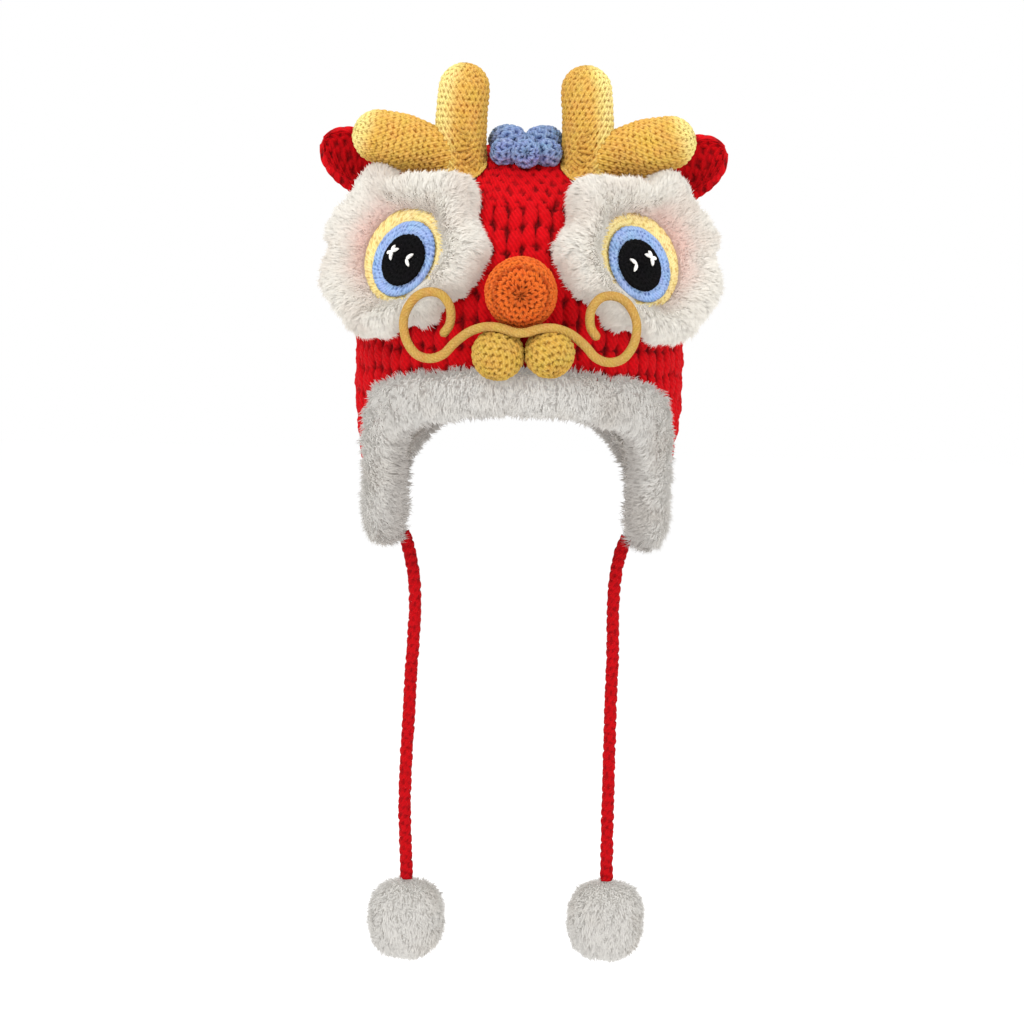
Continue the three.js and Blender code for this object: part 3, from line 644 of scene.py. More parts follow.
WHITE_THREAD = YarnFinish("white_embroidery_thread", "#f5f3ef", "#cfcac4", "#ffffff")
# Each fur's root colour is painted shade deep in the pile
WHITE_FUR = FurFinish("white_faux_fur", "#dbd8d1", "#d6d2cb", "#efe6e2", "#e8beb4", glow=0.23)
# The trim's second colour is grey painted shade on the inner side of its pile
TRIM_FUR = FurFinish("white_curly_faux_fur", "#cbc9c5", "#c7c4bf", "#f2eeea", "#aaa5a0", glow=0.3)
WHITE_PLUSH = FurFinish("curly_white_plush", "#dddad5", "#bdb7b0", "#e4dad4", glow=0.06)


def dress_piece(
    piece: bpy.types.Object, material: bpy.types.Material, nodes: tuple[str, ...] = ()
) -> bpy.types.Object:
    """Gives a piece its finish, and sets it on the hat in place of its CAD nodes.

    Args:
        piece: the new object.
        material: its finish.
        nodes: the CAD nodes that the piece stands for.

    Returns:
        The same object.
    """
    piece.data.materials.append(material)
    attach(piece, "root")
    if nodes:
        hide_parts(*nodes)
    faces = sum(len(face.vertices) - 2 for face in piece.data.polygons)
    log.info("%s: %d triangles, %s", piece.name, faces, material.name)
    return piece


# The form of the hat


@dataclass
class Rim:
    """The hat's edge as points spaced evenly along it.

    Attributes:
        turn: angle round from the front.
        edge: points on the outer face at the rim.
        out: unit vectors away from the wall.
        beyond: unit vectors in the wall that point off its edge.
        cuff: shares of the fur cuff's height.
    """

    turn: Array
    edge: Array
    out: Array
    beyond: Array
    cuff: Array


@dataclass
class HatForm:
    """The shape that all pieces sit on: a superelliptic dome, an elliptic skirt and two ear flaps.

    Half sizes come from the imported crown, and the rest repeats the part's own sizes.
    """

    half_width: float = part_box("crown")[1].x
    half_depth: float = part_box("crown")[1].y
    top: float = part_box("crown")[1].z
    dome_fullness: float = 2.3
    dome_height: float = 106.3 * MM
    skirt_height: float = 26 * MM
    crochet_wall: float = 4 * MM
    lining_wall: float = 7 * MM
    flap_length: float = 75 * MM
    flap_lean: float = 13 * MM
    flap_lean_power: float = 1.5
    rim_turns: tuple[float, ...] = (
        0, 15, 28, 40, 49, 55, 59, 64, 74, 87, 100, 109, 116, 123, 131, 139, 147, 156, 167, 180,
    )
    rim_hangs: tuple[float, ...] = (
        0, 0.015, 0.06, 0.12, 0.22, 0.36, 0.52, 0.72, 0.92, 1, 0.94, 0.8, 0.64, 0.5, 0.38, 0.27, 0.16,
        0.07, 0.015, 0,
    )
    rim_cuffs: tuple[float, ...] = (
        1, 1, 1.05, 1.3, 1.6, 1.3, 1, 1, 1, 1, 1, 1, 1, 1, 1, 1, 1, 1, 1, 1,
    )

    @property
    def shoulder(self) -> float:
        """Height of the foot of the dome."""
        return self.top - self.dome_height

    @property
    def brow(self) -> float:
        """Height of the rim over the brow."""
        return self.shoulder - self.skirt_height

    @property
    def wall(self) -> float:
        """Thickness of the crochet, the gap and the lining together."""
        return self.crochet_wall + GAP + self.lining_wall

    def lean(self, height: Array) -> Array:
        """How far the wall leans in below the brow: a power of the share of the flap's length."""
        hang = np.maximum(0, self.brow - height) / self.flap_length
        return self.flap_lean * hang**self.flap_lean_power

    def dome_point(self, turn: Array, rise: Array, inset: float = 0.0) -> Array:
        """Points of the dome, where spread and lift are superelliptic powers of cosine and sine."""
        turn, rise = np.broadcast_arrays(turn, rise)
        spread = np.maximum(0, np.cos(rise)) ** (2 / self.dome_fullness)
        lift = np.maximum(0, np.sin(rise)) ** (2 / self.dome_fullness)
        return np.stack([
            (self.half_width - inset) * spread * np.sin(turn),
            -(self.half_depth - inset) * spread * np.cos(turn),
            self.shoulder + (self.dome_height - inset) * lift,
        ], axis=-1)

    def skirt_point(self, turn: Array, height: Array, inset: float = 0.0) -> Array:
        """Points of the skirt and flaps: an ellipse that leans in below the brow."""
        turn, height = np.broadcast_arrays(turn, height)
        lean = self.lean(height)
        return np.stack([
            (self.half_width - lean - inset) * np.sin(turn),
            -(self.half_depth - lean - inset) * np.cos(turn),
            height,
        ], axis=-1)

    def rim(self, count: int) -> Rim:
        """The rim's stations, from the front round over +X."""
        turns = np.radians(self.rim_turns)
        heights = self.brow - np.array(self.rim_hangs) * self.flap_length
        all_turns = np.r_[turns, FULL_TURN - turns[-2:0:-1]]
        all_heights = np.r_[heights, heights[-2:0:-1]]
        edge = spline(self.skirt_point(all_turns, all_heights), count, closed=True)
        lean = self.lean(edge[:, 2])
        turn = np.arctan2(edge[:, 0] / (self.half_width - lean), -edge[:, 1] / (self.half_depth - lean))
        out = unit(np.stack([np.sin(turn) / self.half_width, -np.cos(turn) / self.half_depth, 0 * turn], -1))
        along = np.roll(edge, -1, axis=0) - np.roll(edge, 1, axis=0)
        beyond = unit(np.cross(along, out))
        cuff = np.interp(np.abs(np.degrees(turn)), self.rim_turns, self.rim_cuffs)
        return Rim(np.mod(turn + 1e-9, FULL_TURN), edge, out, beyond, cuff)

    def push_out(self, points: Array, clearance: float) -> Array:
        """Moves points that lie inside the dome or skirt out onto it.

        The form's level at a point is the power mean of its share across and its share up. A point
        whose level is under 1 is scaled from the dome's middle until it is 1.
        """
        power = self.dome_fullness
        across = np.hypot(
            points[..., 0] / (self.half_width + clearance), points[..., 1] / (self.half_depth + clearance)
        )
        up = np.maximum(0, points[..., 2] - self.shoulder) / (self.dome_height + clearance)
        level = np.maximum(1e-6, (across**power + up**power) ** (1 / power))
        growth = np.maximum(1, 1 / level)[..., None]
        below = points[..., 2:] < self.shoulder
        middle = np.where(below, points * [0, 0, 1], [0, 0, self.shoulder])
        return middle + (points - middle) * growth


@dataclass
class Crown:
    """The crocheted wall: small rows on top, tall post stitches below, and a plain inside.

    Attributes:
        form: the hat's form.
        columns: vertices round the crown.
        dome_rows: rows of vertices on the dome.
        skirt_rows: rows of vertices from the dome's foot to the rim.
        top_rounds: the small stitches of the top.
        rounds: the post stitches.
        change: height at which the top's rows end.
    """

    form: HatForm
    columns: int = 560
    dome_rows: int = 106
    skirt_rows: int = 46
    top_rounds: Rounds = Rounds(Stitch.VEE, 7.2 * MM, 6.4 * MM, 1.1 * MM, spiral=False, unevenness=0.45)
    rounds: Rounds = Rounds(
        Stitch.POST, 8.3 * MM, 13 * MM, 1.5 * MM, spiral=False, unevenness=0.32, stagger=0.0
    )
    change: float = -23.5 * MM

    def face(self, inset: float, rows: int, skirt_rows: int) -> tuple[Array, Array, Array]:
        """One face of the wall.

        Args:
            inset: depth inside the outer face.
            rows: rows on the dome.
            skirt_rows: rows from the dome's foot to the rim.

        Returns:
            Points, angles round, and arc lengths from the top along the mean profile.
        """
        form = self.form
        rim = form.rim(self.columns)
        even = np.arange(self.columns) * FULL_TURN / self.columns
        mean_half = (form.half_width + form.half_depth) / 2
        fine_rise = np.linspace(math.pi / 2, 0, 2000)
        profile = np.stack([
            mean_half * np.maximum(0, np.cos(fine_rise)) ** (2 / form.dome_fullness),
            form.dome_height * np.sin(fine_rise) ** (2 / form.dome_fullness),
        ], axis=-1)
        fine_run = route_run(profile)
        run = np.linspace(0, fine_run[-1], rows + 1)[1:]
        rise = np.interp(run, fine_run, fine_rise)
        turns = [np.broadcast_to(even, (rows, self.columns))]
        points = [form.dome_point(turns[0], rise[:, None], inset)]
        share = (np.arange(1, skirt_rows + 1) / skirt_rows)[:, None]
        slip = np.mod(rim.turn - even + math.pi, FULL_TURN) - math.pi
        turns.append(even + slip * share)
        height = between(form.shoulder, rim.edge[:, 2], share)
        points.append(form.skirt_point(turns[1], height, inset))
        arcs = [np.broadcast_to(run[:, None], (rows, self.columns)), run[-1] + form.shoulder - height]
        return np.vstack(points), np.vstack(turns), np.vstack(arcs)

    def build(self) -> bpy.types.Object:
        """Builds the crown as one closed shell.

        The arc of the post stitches starts again where the small rows end. The rim lies in the fur.
        """
        form = self.form
        points, turn, arc = self.face(0.0, self.dome_rows, self.skirt_rows)
        share = np.mod(turn / FULL_TURN, 1)
        girth = np.hypot(points[..., 0], points[..., 1]).mean(axis=1)[:self.dome_rows] * FULL_TURN
        girth_at = arc[:self.dome_rows, 0]
        change = np.interp(-self.change, -points[:self.dome_rows, 0, 2], girth_at)
        small = 0.15 + 0.8 * self.top_rounds.relief(arc, share, girth_at, girth)
        tall = self.rounds.relief(arc - change, share, girth_at - change, girth)
        relief = np.where(arc < change, small, tall)
        depth = np.where(arc < change, self.top_rounds.depth, self.rounds.depth)
        raised = points + grid_normals(points) * ((relief - 0.8) * depth)[..., None]
        inner, inner_turn, inner_arc = self.face(form.crochet_wall, 8, 5)
        shell = np.vstack([raised, inner[::-1]])
        full_turn = np.vstack([turn, inner_turn[::-1]])
        full_arc = np.vstack([arc, 2 * arc[-1] - inner_arc[::-1]])
        places = np.stack([
            np.hstack([full_turn, full_turn[:, :1] + FULL_TURN]) * (form.half_width + form.half_depth) / 2,
            np.hstack([full_arc, full_arc[:, :1]]),
        ], axis=-1) / MM
        full_relief = np.vstack([relief, np.zeros(inner.shape[:2])])
        builder = MeshBuilder()
        builder.add_skin(shell, places, full_relief)
        return dress_piece(builder.build("crochet_crown"), RED_YARN.build(), ("crown",))


# Fur


@dataclass(frozen=True)
class Pile:
    """How a fur's strands stand.

    Attributes:
        count: how many strands.
        length: a strand's length in metres.
        width: its width at the root.
        lift: how much it stands up, from 0 where it lies flat to 1.
        gather: how far the tips of a tuft draw together, from 0 to 1.
        tufts: tufts round the piece and along it.
        unruly: how much each strand strays.
        droop: how much of its length the tip sinks.
    """

    count: int
    length: float
    width: float
    lift: float
    gather: float
    tufts: tuple[int, int]
    unruly: float = 0.3
    droop: float = 0.1


@dataclass
class Fur:
    """Fur on a surface that closes round: a pelt and strands set into it.

    Attributes:
        surface: gives the pelt's points for places round and along it, both from 0 to 1.
        pile: how the strands stand.
        lay: for places along the surface, how far the strands lean on along it, from -1 to 1.
        looped: whether the surface also closes along.
        seed: the start of its random numbers.
        grid: the pelt's rows and columns.
        bare: ends of the surface that carry no strands, as places along it.
        thinned_from: place along the surface from which only a third of the strands stand.
        pressed_by: points of a cord that lies on the fur and presses it down.
        second_colour: for places round and along, how much of the finish's second colour shows.
    """

    surface: Surface
    pile: Pile
    lay: Callable[[Array], Array]
    looped: bool = False
    seed: int = 1
    grid: tuple[int, int] = (40, 120)
    bare: tuple[float, float] = (0.0, 1.0)
    thinned_from: float = 1.0
    pressed_by: Array | None = None
    second_colour: Callable[[Array, Array], Array] | None = None

    def normal(self, around: Array, along: Array, outward: float) -> tuple[Array, Array]:
        """Unit normals, and unit steps along the surface, by small differences."""
        small = 2e-3
        here = self.surface(around, along)
        ahead = self.surface(around, np.minimum(along + small, 1.0)) - self.surface(
            around, np.maximum(along - small, 0.0)
        )
        aside = self.surface(np.mod(around + small, 1), along) - here
        return unit(np.cross(aside, ahead)) * outward, unit(ahead)

    def sample(self, rng: np.random.Generator) -> tuple[Array, Array]:
        """Places spread evenly over the area: cells are drawn by size, and places lie anywhere in one."""
        rows, columns = 90, 180
        low, high = self.bare
        along = np.linspace(low, high, rows + 1)
        around = np.linspace(0, 1, columns + 1)
        grid = self.surface(*np.meshgrid(np.mod(around, 1), along))
        side = np.linalg.norm(grid[:-1, 1:] - grid[:-1, :-1], axis=-1)
        ahead = np.linalg.norm(grid[1:, :-1] - grid[:-1, :-1], axis=-1)
        thinned = np.where(along[:-1] > self.thinned_from, 0.35, 1.0)[:, None]
        area = (side * ahead * thinned).ravel()
        cell = np.searchsorted(np.cumsum(area) / area.sum(), rng.random(self.pile.count))
        row, column = np.divmod(np.minimum(cell, area.size - 1), columns)
        return (column + rng.random(len(cell))) / columns, low + (high - low) * (row + rng.random(len(cell))) / rows

    def add(self, builder: MeshBuilder) -> None:
        """Adds the pelt and its strands to the mesh.

        Each strand starts along the skin's normal and its lay, strays a little, and its tip is drawn
        to the tip of the tuft that it stands in. The rows of tufts are staggered and wander, so that
        no parting shows between them.
        """
        rows, columns = self.grid
        around = np.arange(columns) / columns
        along = np.arange(rows) / rows if self.looped else np.linspace(0, 1, rows)
        pelt = self.surface(*np.meshgrid(around, along))
        # The pelt takes a colour near the roots' painted shade
        shade = np.full((rows + (1 if self.looped else 0), columns + 1), 0.35)
        tone = np.full_like(shade, 0.5)
        second_colour = self.second_colour or (lambda around, along: 0 * along)
        builder.add_skin(
            pelt, np.stack([tone, shade], axis=-1), 0.0, self.looped, second_colour(*np.meshgrid(around, along))
        )

        rng = np.random.default_rng(self.seed)
        pile = self.pile
        place_round, place_along = self.sample(rng)
        root = self.surface(place_round, place_along)
        trial, _ = self.normal(place_round, place_along, 1.0)
        grid_out = grid_normals(pelt, self.looped)
        nearest_row = np.minimum((place_along * rows).astype(int), rows - 1)
        nearest = grid_out[nearest_row, (place_round * columns).astype(int) % columns]
        outward = np.sign(np.sum(trial * nearest)) or 1.0
        normals, ahead = self.normal(place_round, place_along, outward)

        tufts_round, tufts_along = pile.tufts
        wander = 0.45 * np.sin(FULL_TURN * 11 * place_round) + 0.3 * np.sin(FULL_TURN * 29 * place_round)
        cell_along = np.floor(place_along * tufts_along + wander)
        cell_round = np.mod(np.floor(place_round * tufts_round + 0.5 * np.mod(cell_along, 2)), tufts_round)
        tuft_round = np.mod(
            (cell_round - 0.5 * np.mod(cell_along, 2) + scatter(cell_round, cell_along)) / tufts_round, 1
        )
        tuft_along = (cell_along - wander + 0.1 + 0.8 * scatter(cell_round, cell_along, 1)) / tufts_along
        tuft_along = np.clip(tuft_along, *self.bare)
        tuft_root = self.surface(tuft_round, tuft_along)
        tuft_normals, tuft_ahead = self.normal(tuft_round, tuft_along, outward)
        tuft_growth = 0.75 + 0.5 * scatter(cell_round, cell_along, 2)

        length = (pile.length * (0.75 + 0.4 * rng.random(len(root))) * tuft_growth)[:, None]
        if self.pressed_by is not None:
            seen = (root + normals * length / 2)[:, None, ::2] - self.pressed_by[None, :, ::2]
            nearest_cord = np.min(np.linalg.norm(seen, axis=-1), axis=1)
            length *= (0.3 + 0.7 * step_up(nearest_cord, 4 * MM, 9 * MM))[:, None]
        lean = (1 - pile.lift) * self.lay(place_along)[:, None]
        stray = rng.normal(0, pile.unruly, root.shape)
        heading = unit(normals * pile.lift + ahead * lean + stray)
        sink = np.array([0, 0, -1.0]) * length * pile.droop
        tuft_lean = (1 - pile.lift) * self.lay(tuft_along)[:, None]
        tuft_tip = tuft_root + unit(tuft_normals * pile.lift + tuft_ahead * tuft_lean) * length
        tip = between(root + heading * length, tuft_tip, pile.gather) + sink
        half = between(root + unit(normals + heading) * length * 0.55, tuft_tip, 0.35 * pile.gather)
        width = pile.width * (0.7 + 0.6 * rng.random(len(root)))
        builder.add_strands(
            root, half, tip, unit(normals + 0.1 * heading), width, rng.random(len(root)),
            second_colour(place_round, place_along),
        )


@dataclass
class FurTrim:
    """The deep fur that wraps the whole rim, over the crochet, under the edge and up the lining.

    Attributes:
        form: the hat's form.
        cuff: height of the fur on the outside.
        below: depth of the fur under the edge.
        pile_depth: how far it stands out from the crochet.
        pelt_share: the pelt's size as shares of the fur's, out of the wall and along it.
        flap_spread: how much thicker the fur is inside a flap's tip.
    """

    form: HatForm
    cuff: float = 15 * MM
    below: float = 10 * MM
    pile_depth: float = 10 * MM
    pelt_share: tuple[float, float] = (0.68, 0.7)
    flap_spread: float = 3.6 * MM
    section: tuple[tuple[float, float], ...] = (
        (-0.2, 0.05), (0.5, 0.0), (0.9, 0.22), (1.0, 0.52), (0.75, 0.82),
        (-0.1, 1.0), (-0.8, 1.0), (-1.25, 0.84), (-0.95, 0.63), (-0.5, 0.5),
    )

    def surface(self) -> Surface:
        """The pelt: its section carried round the rim, scaled towards the section's middle."""
        stations = 900
        rim = self.form.rim(stations)
        at = np.arange(stations + 1) / stations
        section = spline(np.array(self.section), 200, closed=True)
        section = np.vstack([section, section[:1]])
        centre = np.array([0.0, 0.5])
        section = centre + (section - centre) * self.pelt_share
        section_at = np.linspace(0, 1, len(section))

        def ringed(values: Array, around: Array) -> Array:
            """Values of the rim's stations at places round it."""
            closed = np.concatenate([values, values[:1]])
            if closed.ndim == 1:
                return np.interp(around, at, closed)
            return np.stack([np.interp(around, at, column) for column in closed.T], axis=-1)

        def points(around: Array, along: Array) -> Array:
            """The pelt's points."""
            out = np.interp(along, section_at, section[:, 0])
            down = np.interp(along, section_at, section[:, 1])
            edge, beyond = ringed(rim.edge, around), ringed(rim.beyond, around)
            low = step_up(-edge[..., 2], 150 * MM, 185 * MM)
            reach = between(-self.cuff * ringed(rim.cuff, around), self.below, down)
            tip = step_up(-edge[..., 2] - beyond[..., 2] * reach, 178 * MM, 206 * MM)
            steep = np.hypot(beyond[..., 0], beyond[..., 1])
            outside = self.pile_depth * (1 - 0.42 * steep) * (1 - 0.8 * tip)
            out = np.where(out < 0, out * (self.form.wall + self.flap_spread * low), out * outside)
            return (
                edge + ringed(rim.out, around) * out[..., None] + beyond * reach[..., None]
            )

        return points

    def build(self) -> bpy.types.Object:
        """Builds the trim. The strands rise at the cuff's top and lean down, and painted shade greys it inside."""
        pile = Pile(50000, 5.6 * MM, 0.74 * MM, 0.42, 0.3, (150, 15), 0.22, 0.03)
        fur = Fur(
            self.surface(), pile, lambda along: 0.3 + 0.45 * step_up(along, 0.0, 0.25),
            looped=True, seed=3, grid=(24, 420), bare=(0.0, 0.93), thinned_from=0.62,
            # Painted shade: the inner side of the pile takes the grey second colour
            second_colour=lambda around, along: 0.8 * step_up(along, 0.42, 0.62) + 0 * around,
        )
        builder = MeshBuilder()
        fur.add(builder)
        piece = builder.build("rim_fur")
        builder.light_by_skin(piece)
        return dress_piece(piece, TRIM_FUR.build(), ("fur_trim",))


@dataclass
class Lining:
    """The plush inside the crown and flaps, with short curls where it can be seen."""

    form: HatForm

    def build(self) -> bpy.types.Object:
        """Builds the lining as a closed shell whose inner face is covered in short curls."""
        form = self.form
        columns = 240
        crown = Crown(form, columns=columns)
        outer, _, _ = crown.face(form.crochet_wall + GAP, 10, 5)
        inner, _, _ = crown.face(form.wall, 30, 26)
        stack = np.vstack([outer, inner[::-1]])
        places = np.full((stack.shape[0], columns + 1, 2), 0.4)
        builder = MeshBuilder()
        builder.add_skin(stack, places, 0.0)

        def inside(around: Array, along: Array) -> Array:
            """Points of the inner face, from the dome's top at 0 to the rim at 1."""
            rows, column = inner.shape[0], around * columns
            row = along * (rows - 1)
            low_row = np.floor(np.clip(row, 0, rows - 2)).astype(int)
            low_column = np.floor(column).astype(int) % columns
            row_share = (row - low_row)[..., None]
            column_share = (column - np.floor(column))[..., None]
            above = between(inner[low_row, low_column], inner[low_row, (low_column + 1) % columns], column_share)
            under = between(
                inner[low_row + 1, low_column], inner[low_row + 1, (low_column + 1) % columns], column_share
            )
            return between(above, under, row_share)

        rng = np.random.default_rng(11)
        count = 9000
        place_round = rng.random(count)
        place_along = 0.3 + 0.68 * np.sqrt(rng.random(count))
        root = inside(place_round, place_along)
        inwards = unit(-root * [1, 1, 0])
        stray = rng.normal(0, 0.55, root.shape)
        length = (5.5 * MM * (0.6 + 0.7 * rng.random(count)))[:, None]
        tip = root + unit(inwards + stray) * length
        half = root + unit(inwards * 0.8 + rng.normal(0, 0.4, root.shape)) * length * 0.6
        builder.add_strands(root, half, tip, inwards, np.full(count, 1.6 * MM), rng.random(count))
        piece = builder.build("plush_lining")
        return dress_piece(piece, WHITE_PLUSH.build(), ("lining",))


# Eyes


@dataclass
class EyeFrame:
    """The place of one eye: towards the nose, up the patch, and out of it.

    Attributes:
        side: -1 for the left eye and 1 for the right.
        centre: the patch's middle on the +X side.
        yaw: how far it turns outwards.
        pitch: how far it tips back.
        inwards: the eye's offset towards the nose.
        down: the eye's offset down the patch.
        lean: angle of the eye's long axis towards the nose.
    """

    side: int
    centre: tuple[float, float, float] = (60.7 * MM, -72.5 * MM, -50 * MM)
    yaw: float = math.radians(32)
    pitch: float = math.radians(12)
    inwards: float = 3 * MM
    down: float = 2.4 * MM
    lean: float = math.radians(33)

    def point(self, u: Array, v: Array, w: Array) -> Array:
        """Points from their distances towards the nose, up the patch and out of it."""
        nosewards = np.array([-math.cos(self.yaw), -math.sin(self.yaw), 0.0])
        out = np.array([
            math.sin(self.yaw) * math.cos(self.pitch), -math.cos(self.yaw) * math.cos(self.pitch),
            math.sin(self.pitch),
        ])
        up = np.cross(nosewards, out)
        u, v, w = np.broadcast_arrays(u, v, w)
        points = (
            np.array(self.centre) + u[..., None] * nosewards + v[..., None] * up + w[..., None] * out
        )
        return points * [self.side, 1, 1]


@dataclass
class EyePatch:
    """A thick lobed oval of fur with a hollow for the eye."""

    form: HatForm
    frame: EyeFrame
    name: str
    radius: float = 50 * MM
    pile_depth: float = 14 * MM
    hollow: float = 27 * MM
    lid_angle: float = math.radians(-54)
    lid_spread: float = math.radians(41)
    lid_reach: float = 6.8 * MM
    lid_height: float = 6 * MM
    whiskers: Array | None = None
    strand_reach: float = 4.0 * MM
    lobe_growth: float = 1.2
    outline_angles: tuple[float, ...] = (
        6, 26, 50, 70, 101, 116, 142, 165, 180, 200, 220, 243, 262, 285, 308, 338, 366,
    )
    outline_reaches: tuple[float, ...] = (
        1.0, 0.9, 1.05, 0.91, 0.83, 1.04, 0.93, 0.97, 0.88, 0.99, 0.94, 0.97, 0.9, 0.84, 0.87, 0.92,
        1.0,
    )
    section: tuple[tuple[float, float], ...] = (
        (0.0, 0.03), (0.1, 0.2), (0.26, 0.5), (0.48, 0.8), (0.76, 0.78), (0.97, 0.3), (0.92, -0.4),
        (0.4, -0.6),
    )

    def reach(self, angle: Array) -> Array:
        """Radius of the outline in a direction, cosine-eased between the rows of its table."""
        place = np.mod(np.degrees(angle) - self.outline_angles[0], 360) + self.outline_angles[0]
        after = np.clip(np.searchsorted(self.outline_angles, place), 1, len(self.outline_angles) - 1)
        angles = np.array(self.outline_angles)
        reaches = np.array(self.outline_reaches)
        share = (place - angles[after - 1]) / (angles[after] - angles[after - 1])
        eased = (1 - np.cos(math.pi * np.clip(share, 0, 1))) / 2
        mean_reach = float(np.mean(reaches))
        reach = between(reaches[after - 1], reaches[after], eased)
        return self.radius * (mean_reach + (reach - mean_reach) * self.lobe_growth)

    def surface(self) -> Surface:
        """The pelt, from the hollow's edge over the crest to the back."""
        section = spline(np.array(self.section), 120)
        at = np.linspace(0, 1, len(section))
        eye = self.frame

        def points(around: Array, along: Array) -> Array:
            """The pelt's points."""
            spread = np.interp(along, at, section[:, 0])
            height = np.interp(along, at, section[:, 1]) * self.pile_depth
            angle = around * FULL_TURN
            edge = self.reach(angle) - self.strand_reach
            beside = np.mod(angle - self.lid_angle + math.pi, FULL_TURN) - math.pi
            lid = np.exp(-((beside / self.lid_spread) ** 2))
            hollow = self.hollow - self.lid_reach * lid
            height = np.where(along < 0.25, np.maximum(height, self.lid_height * lid), height)
            radius = between(hollow, edge, spread)
            u = between(eye.inwards, 0.0, spread) + radius * np.cos(angle)
            v = between(-eye.down, 0.0, spread) + radius * np.sin(angle)
            return self.form.push_out(eye.point(u, v, height), 1.5 * MM)

        return points

    def build(self) -> bpy.types.Object:
        """Builds the patch. Its strands lie away from the eye, and the fur turns pink outside the eye."""

        def second_colour(around: Array, along: Array) -> Array:
            """How pink the fur is: most beside the eye on the side away from the nose."""
            away = 0.5 - 0.5 * np.cos(FULL_TURN * around + 0.45)
            return 0.62 * away**3 * np.exp(-((along / 0.17) ** 2))

        pile = Pile(30000, 5.8 * MM, 0.62 * MM, 0.4, 0.34, (64, 16), 0.24, 0.03)
        fur = Fur(
            self.surface(), pile, lambda along: 0.5 + 0.5 * step_up(along, 0.05, 0.2),
            seed=7 + self.frame.side, grid=(40, 160), bare=(0.02, 0.8), pressed_by=self.whiskers,
            second_colour=second_colour,
        )
        builder = MeshBuilder()
        fur.add(builder)
        piece = builder.build(f"eye_fur_{self.name}")
        builder.light_by_skin(piece)
        return dress_piece(piece, WHITE_FUR.build(), (f"eye_patch_{self.name}",))


@dataclass(frozen=True)
class EyeDisc:
    """One crocheted disc of an eye.

    Attributes:
        name: the piece's name before its side.
        node: the CAD node that it stands for.
        long_half: half of the long axis.
        short_half: half of the short axis.
        base: height of its back over the patch.
        thickness: its thickness.
        inwards: its own offset towards the nose.
        down: its own offset down the patch.
        finish: the yarn.
        slot: a slot name for the yarn; not used.
    """

    name: str
    node: str
    long_half: float
    short_half: float
    base: float
    thickness: float
    inwards: float
    down: float
    finish: YarnFinish
    slot: str

    def surface(self, eye: EyeFrame, radius: Array, angle: Array, height: Array) -> Array:
        """Points from a share of the radius, an angle and a height over the patch."""
        long = self.long_half * radius * np.cos(angle)
        short = self.short_half * radius * np.sin(angle)
        u = eye.inwards + self.inwards + long * math.sin(eye.lean) + short * math.cos(eye.lean)
        v = -eye.down - self.down + long * math.cos(eye.lean) - short * math.sin(eye.lean)
        return eye.point(u, v, height)

    def build(self, eye: EyeFrame, side_name: str) -> bpy.types.Object:
        """Builds the disc: worked in rounds from its middle, then over the edge to the back."""
        columns, rows, back_rows = 88, 26, 4
        radius = np.r_[np.linspace(0.02, 0.9, rows), 0.97, 1.0, 0.97, np.linspace(0.9, 0.05, back_rows)]
        crowned = self.base + self.thickness * (1.0 - 0.12 * (radius[:rows] / 0.9) ** 2)
        level = np.r_[
            crowned, self.base + self.thickness * np.array([0.72, 0.45, 0.12]), np.full(back_rows, self.base)
        ]
        turn = np.broadcast_to(np.arange(columns) / columns, (len(radius), columns))
        points = self.surface(eye, radius[:, None], turn * FULL_TURN, level[:, None] + 0 * turn)
        mean_half = (self.long_half + self.short_half) / 2
        step = np.hypot(np.diff(radius) * mean_half, np.diff(level))
        run = np.r_[0, np.cumsum(step)]
        arc = np.broadcast_to(run[:, None], turn.shape)
        rounds = Rounds(Stitch.VEE, 2.7 * MM, 2.7 * MM, 0.36 * MM)
        builder = MeshBuilder()
        fade = np.where(np.arange(len(radius)) < rows + 3, 1.0, 0.0)[:, None]
        rounds.dress(builder, points, arc, turn, run, FULL_TURN * radius * mean_half, fade)
        piece = builder.build(f"{self.name}_{side_name}")
        return dress_piece(piece, self.finish.build(), (f"{self.node}_{side_name}",))


def eye_discs() -> tuple[EyeDisc, ...]:
    """The three discs of an eye, each a gap above the one under it."""
    rim_base = 1.7 * MM
    iris_base = rim_base + 3 * MM + GAP
    pupil_base = iris_base + 2 * MM + GAP
    return (
        EyeDisc("eye_ring", "eye_rim", 26.2 * MM, 25.2 * MM, rim_base, 3 * MM, 0.6 * MM, -0.4 * MM,
                YELLOW_YARN, "yellow_yarn"),
        EyeDisc("eye_iris", "iris", 20.8 * MM, 17.6 * MM, iris_base, 2 * MM, 1.2 * MM, 1.1 * MM, IRIS_YARN,
                "blue_yarn"),
        EyeDisc("eye_pupil", "pupil", 14 * MM, 12.4 * MM, pupil_base, 1.6 * MM, 2.6 * MM, 2.3 * MM,
                BLACK_YARN, "black_yarn"),
    )


def swept_tube(route: Array, radii: Array, sides: int) -> Array:
    """A round skin along a route.

    The ring at each station lies across the tangent, and starts from one side vector that is
    carried from station to station and kept square to the route.

    Args:
        route: stations × 3 points.
        radii: the radius at each station.
        sides: points in each ring.

    Returns:
        stations × sides × 3 points.
    """
    tangent = unit(np.gradient(route, axis=0))
    aside = np.zeros_like(route)
    aside[0] = unit(np.cross(tangent[0], [0.31, 0.87, 0.38]))
    for station in range(1, len(route)):
        carried = aside[station - 1] - tangent[station] * np.dot(aside[station - 1], tangent[station])
        aside[station] = unit(carried)
    other = np.cross(tangent, aside)
    angle = np.arange(sides) * FULL_TURN / sides
    ring = np.cos(angle)[None, :, None] * aside[:, None] + np.sin(angle)[None, :, None] * other[:, None]
    return route[:, None] + ring * np.asarray(radii)[:, None, None]


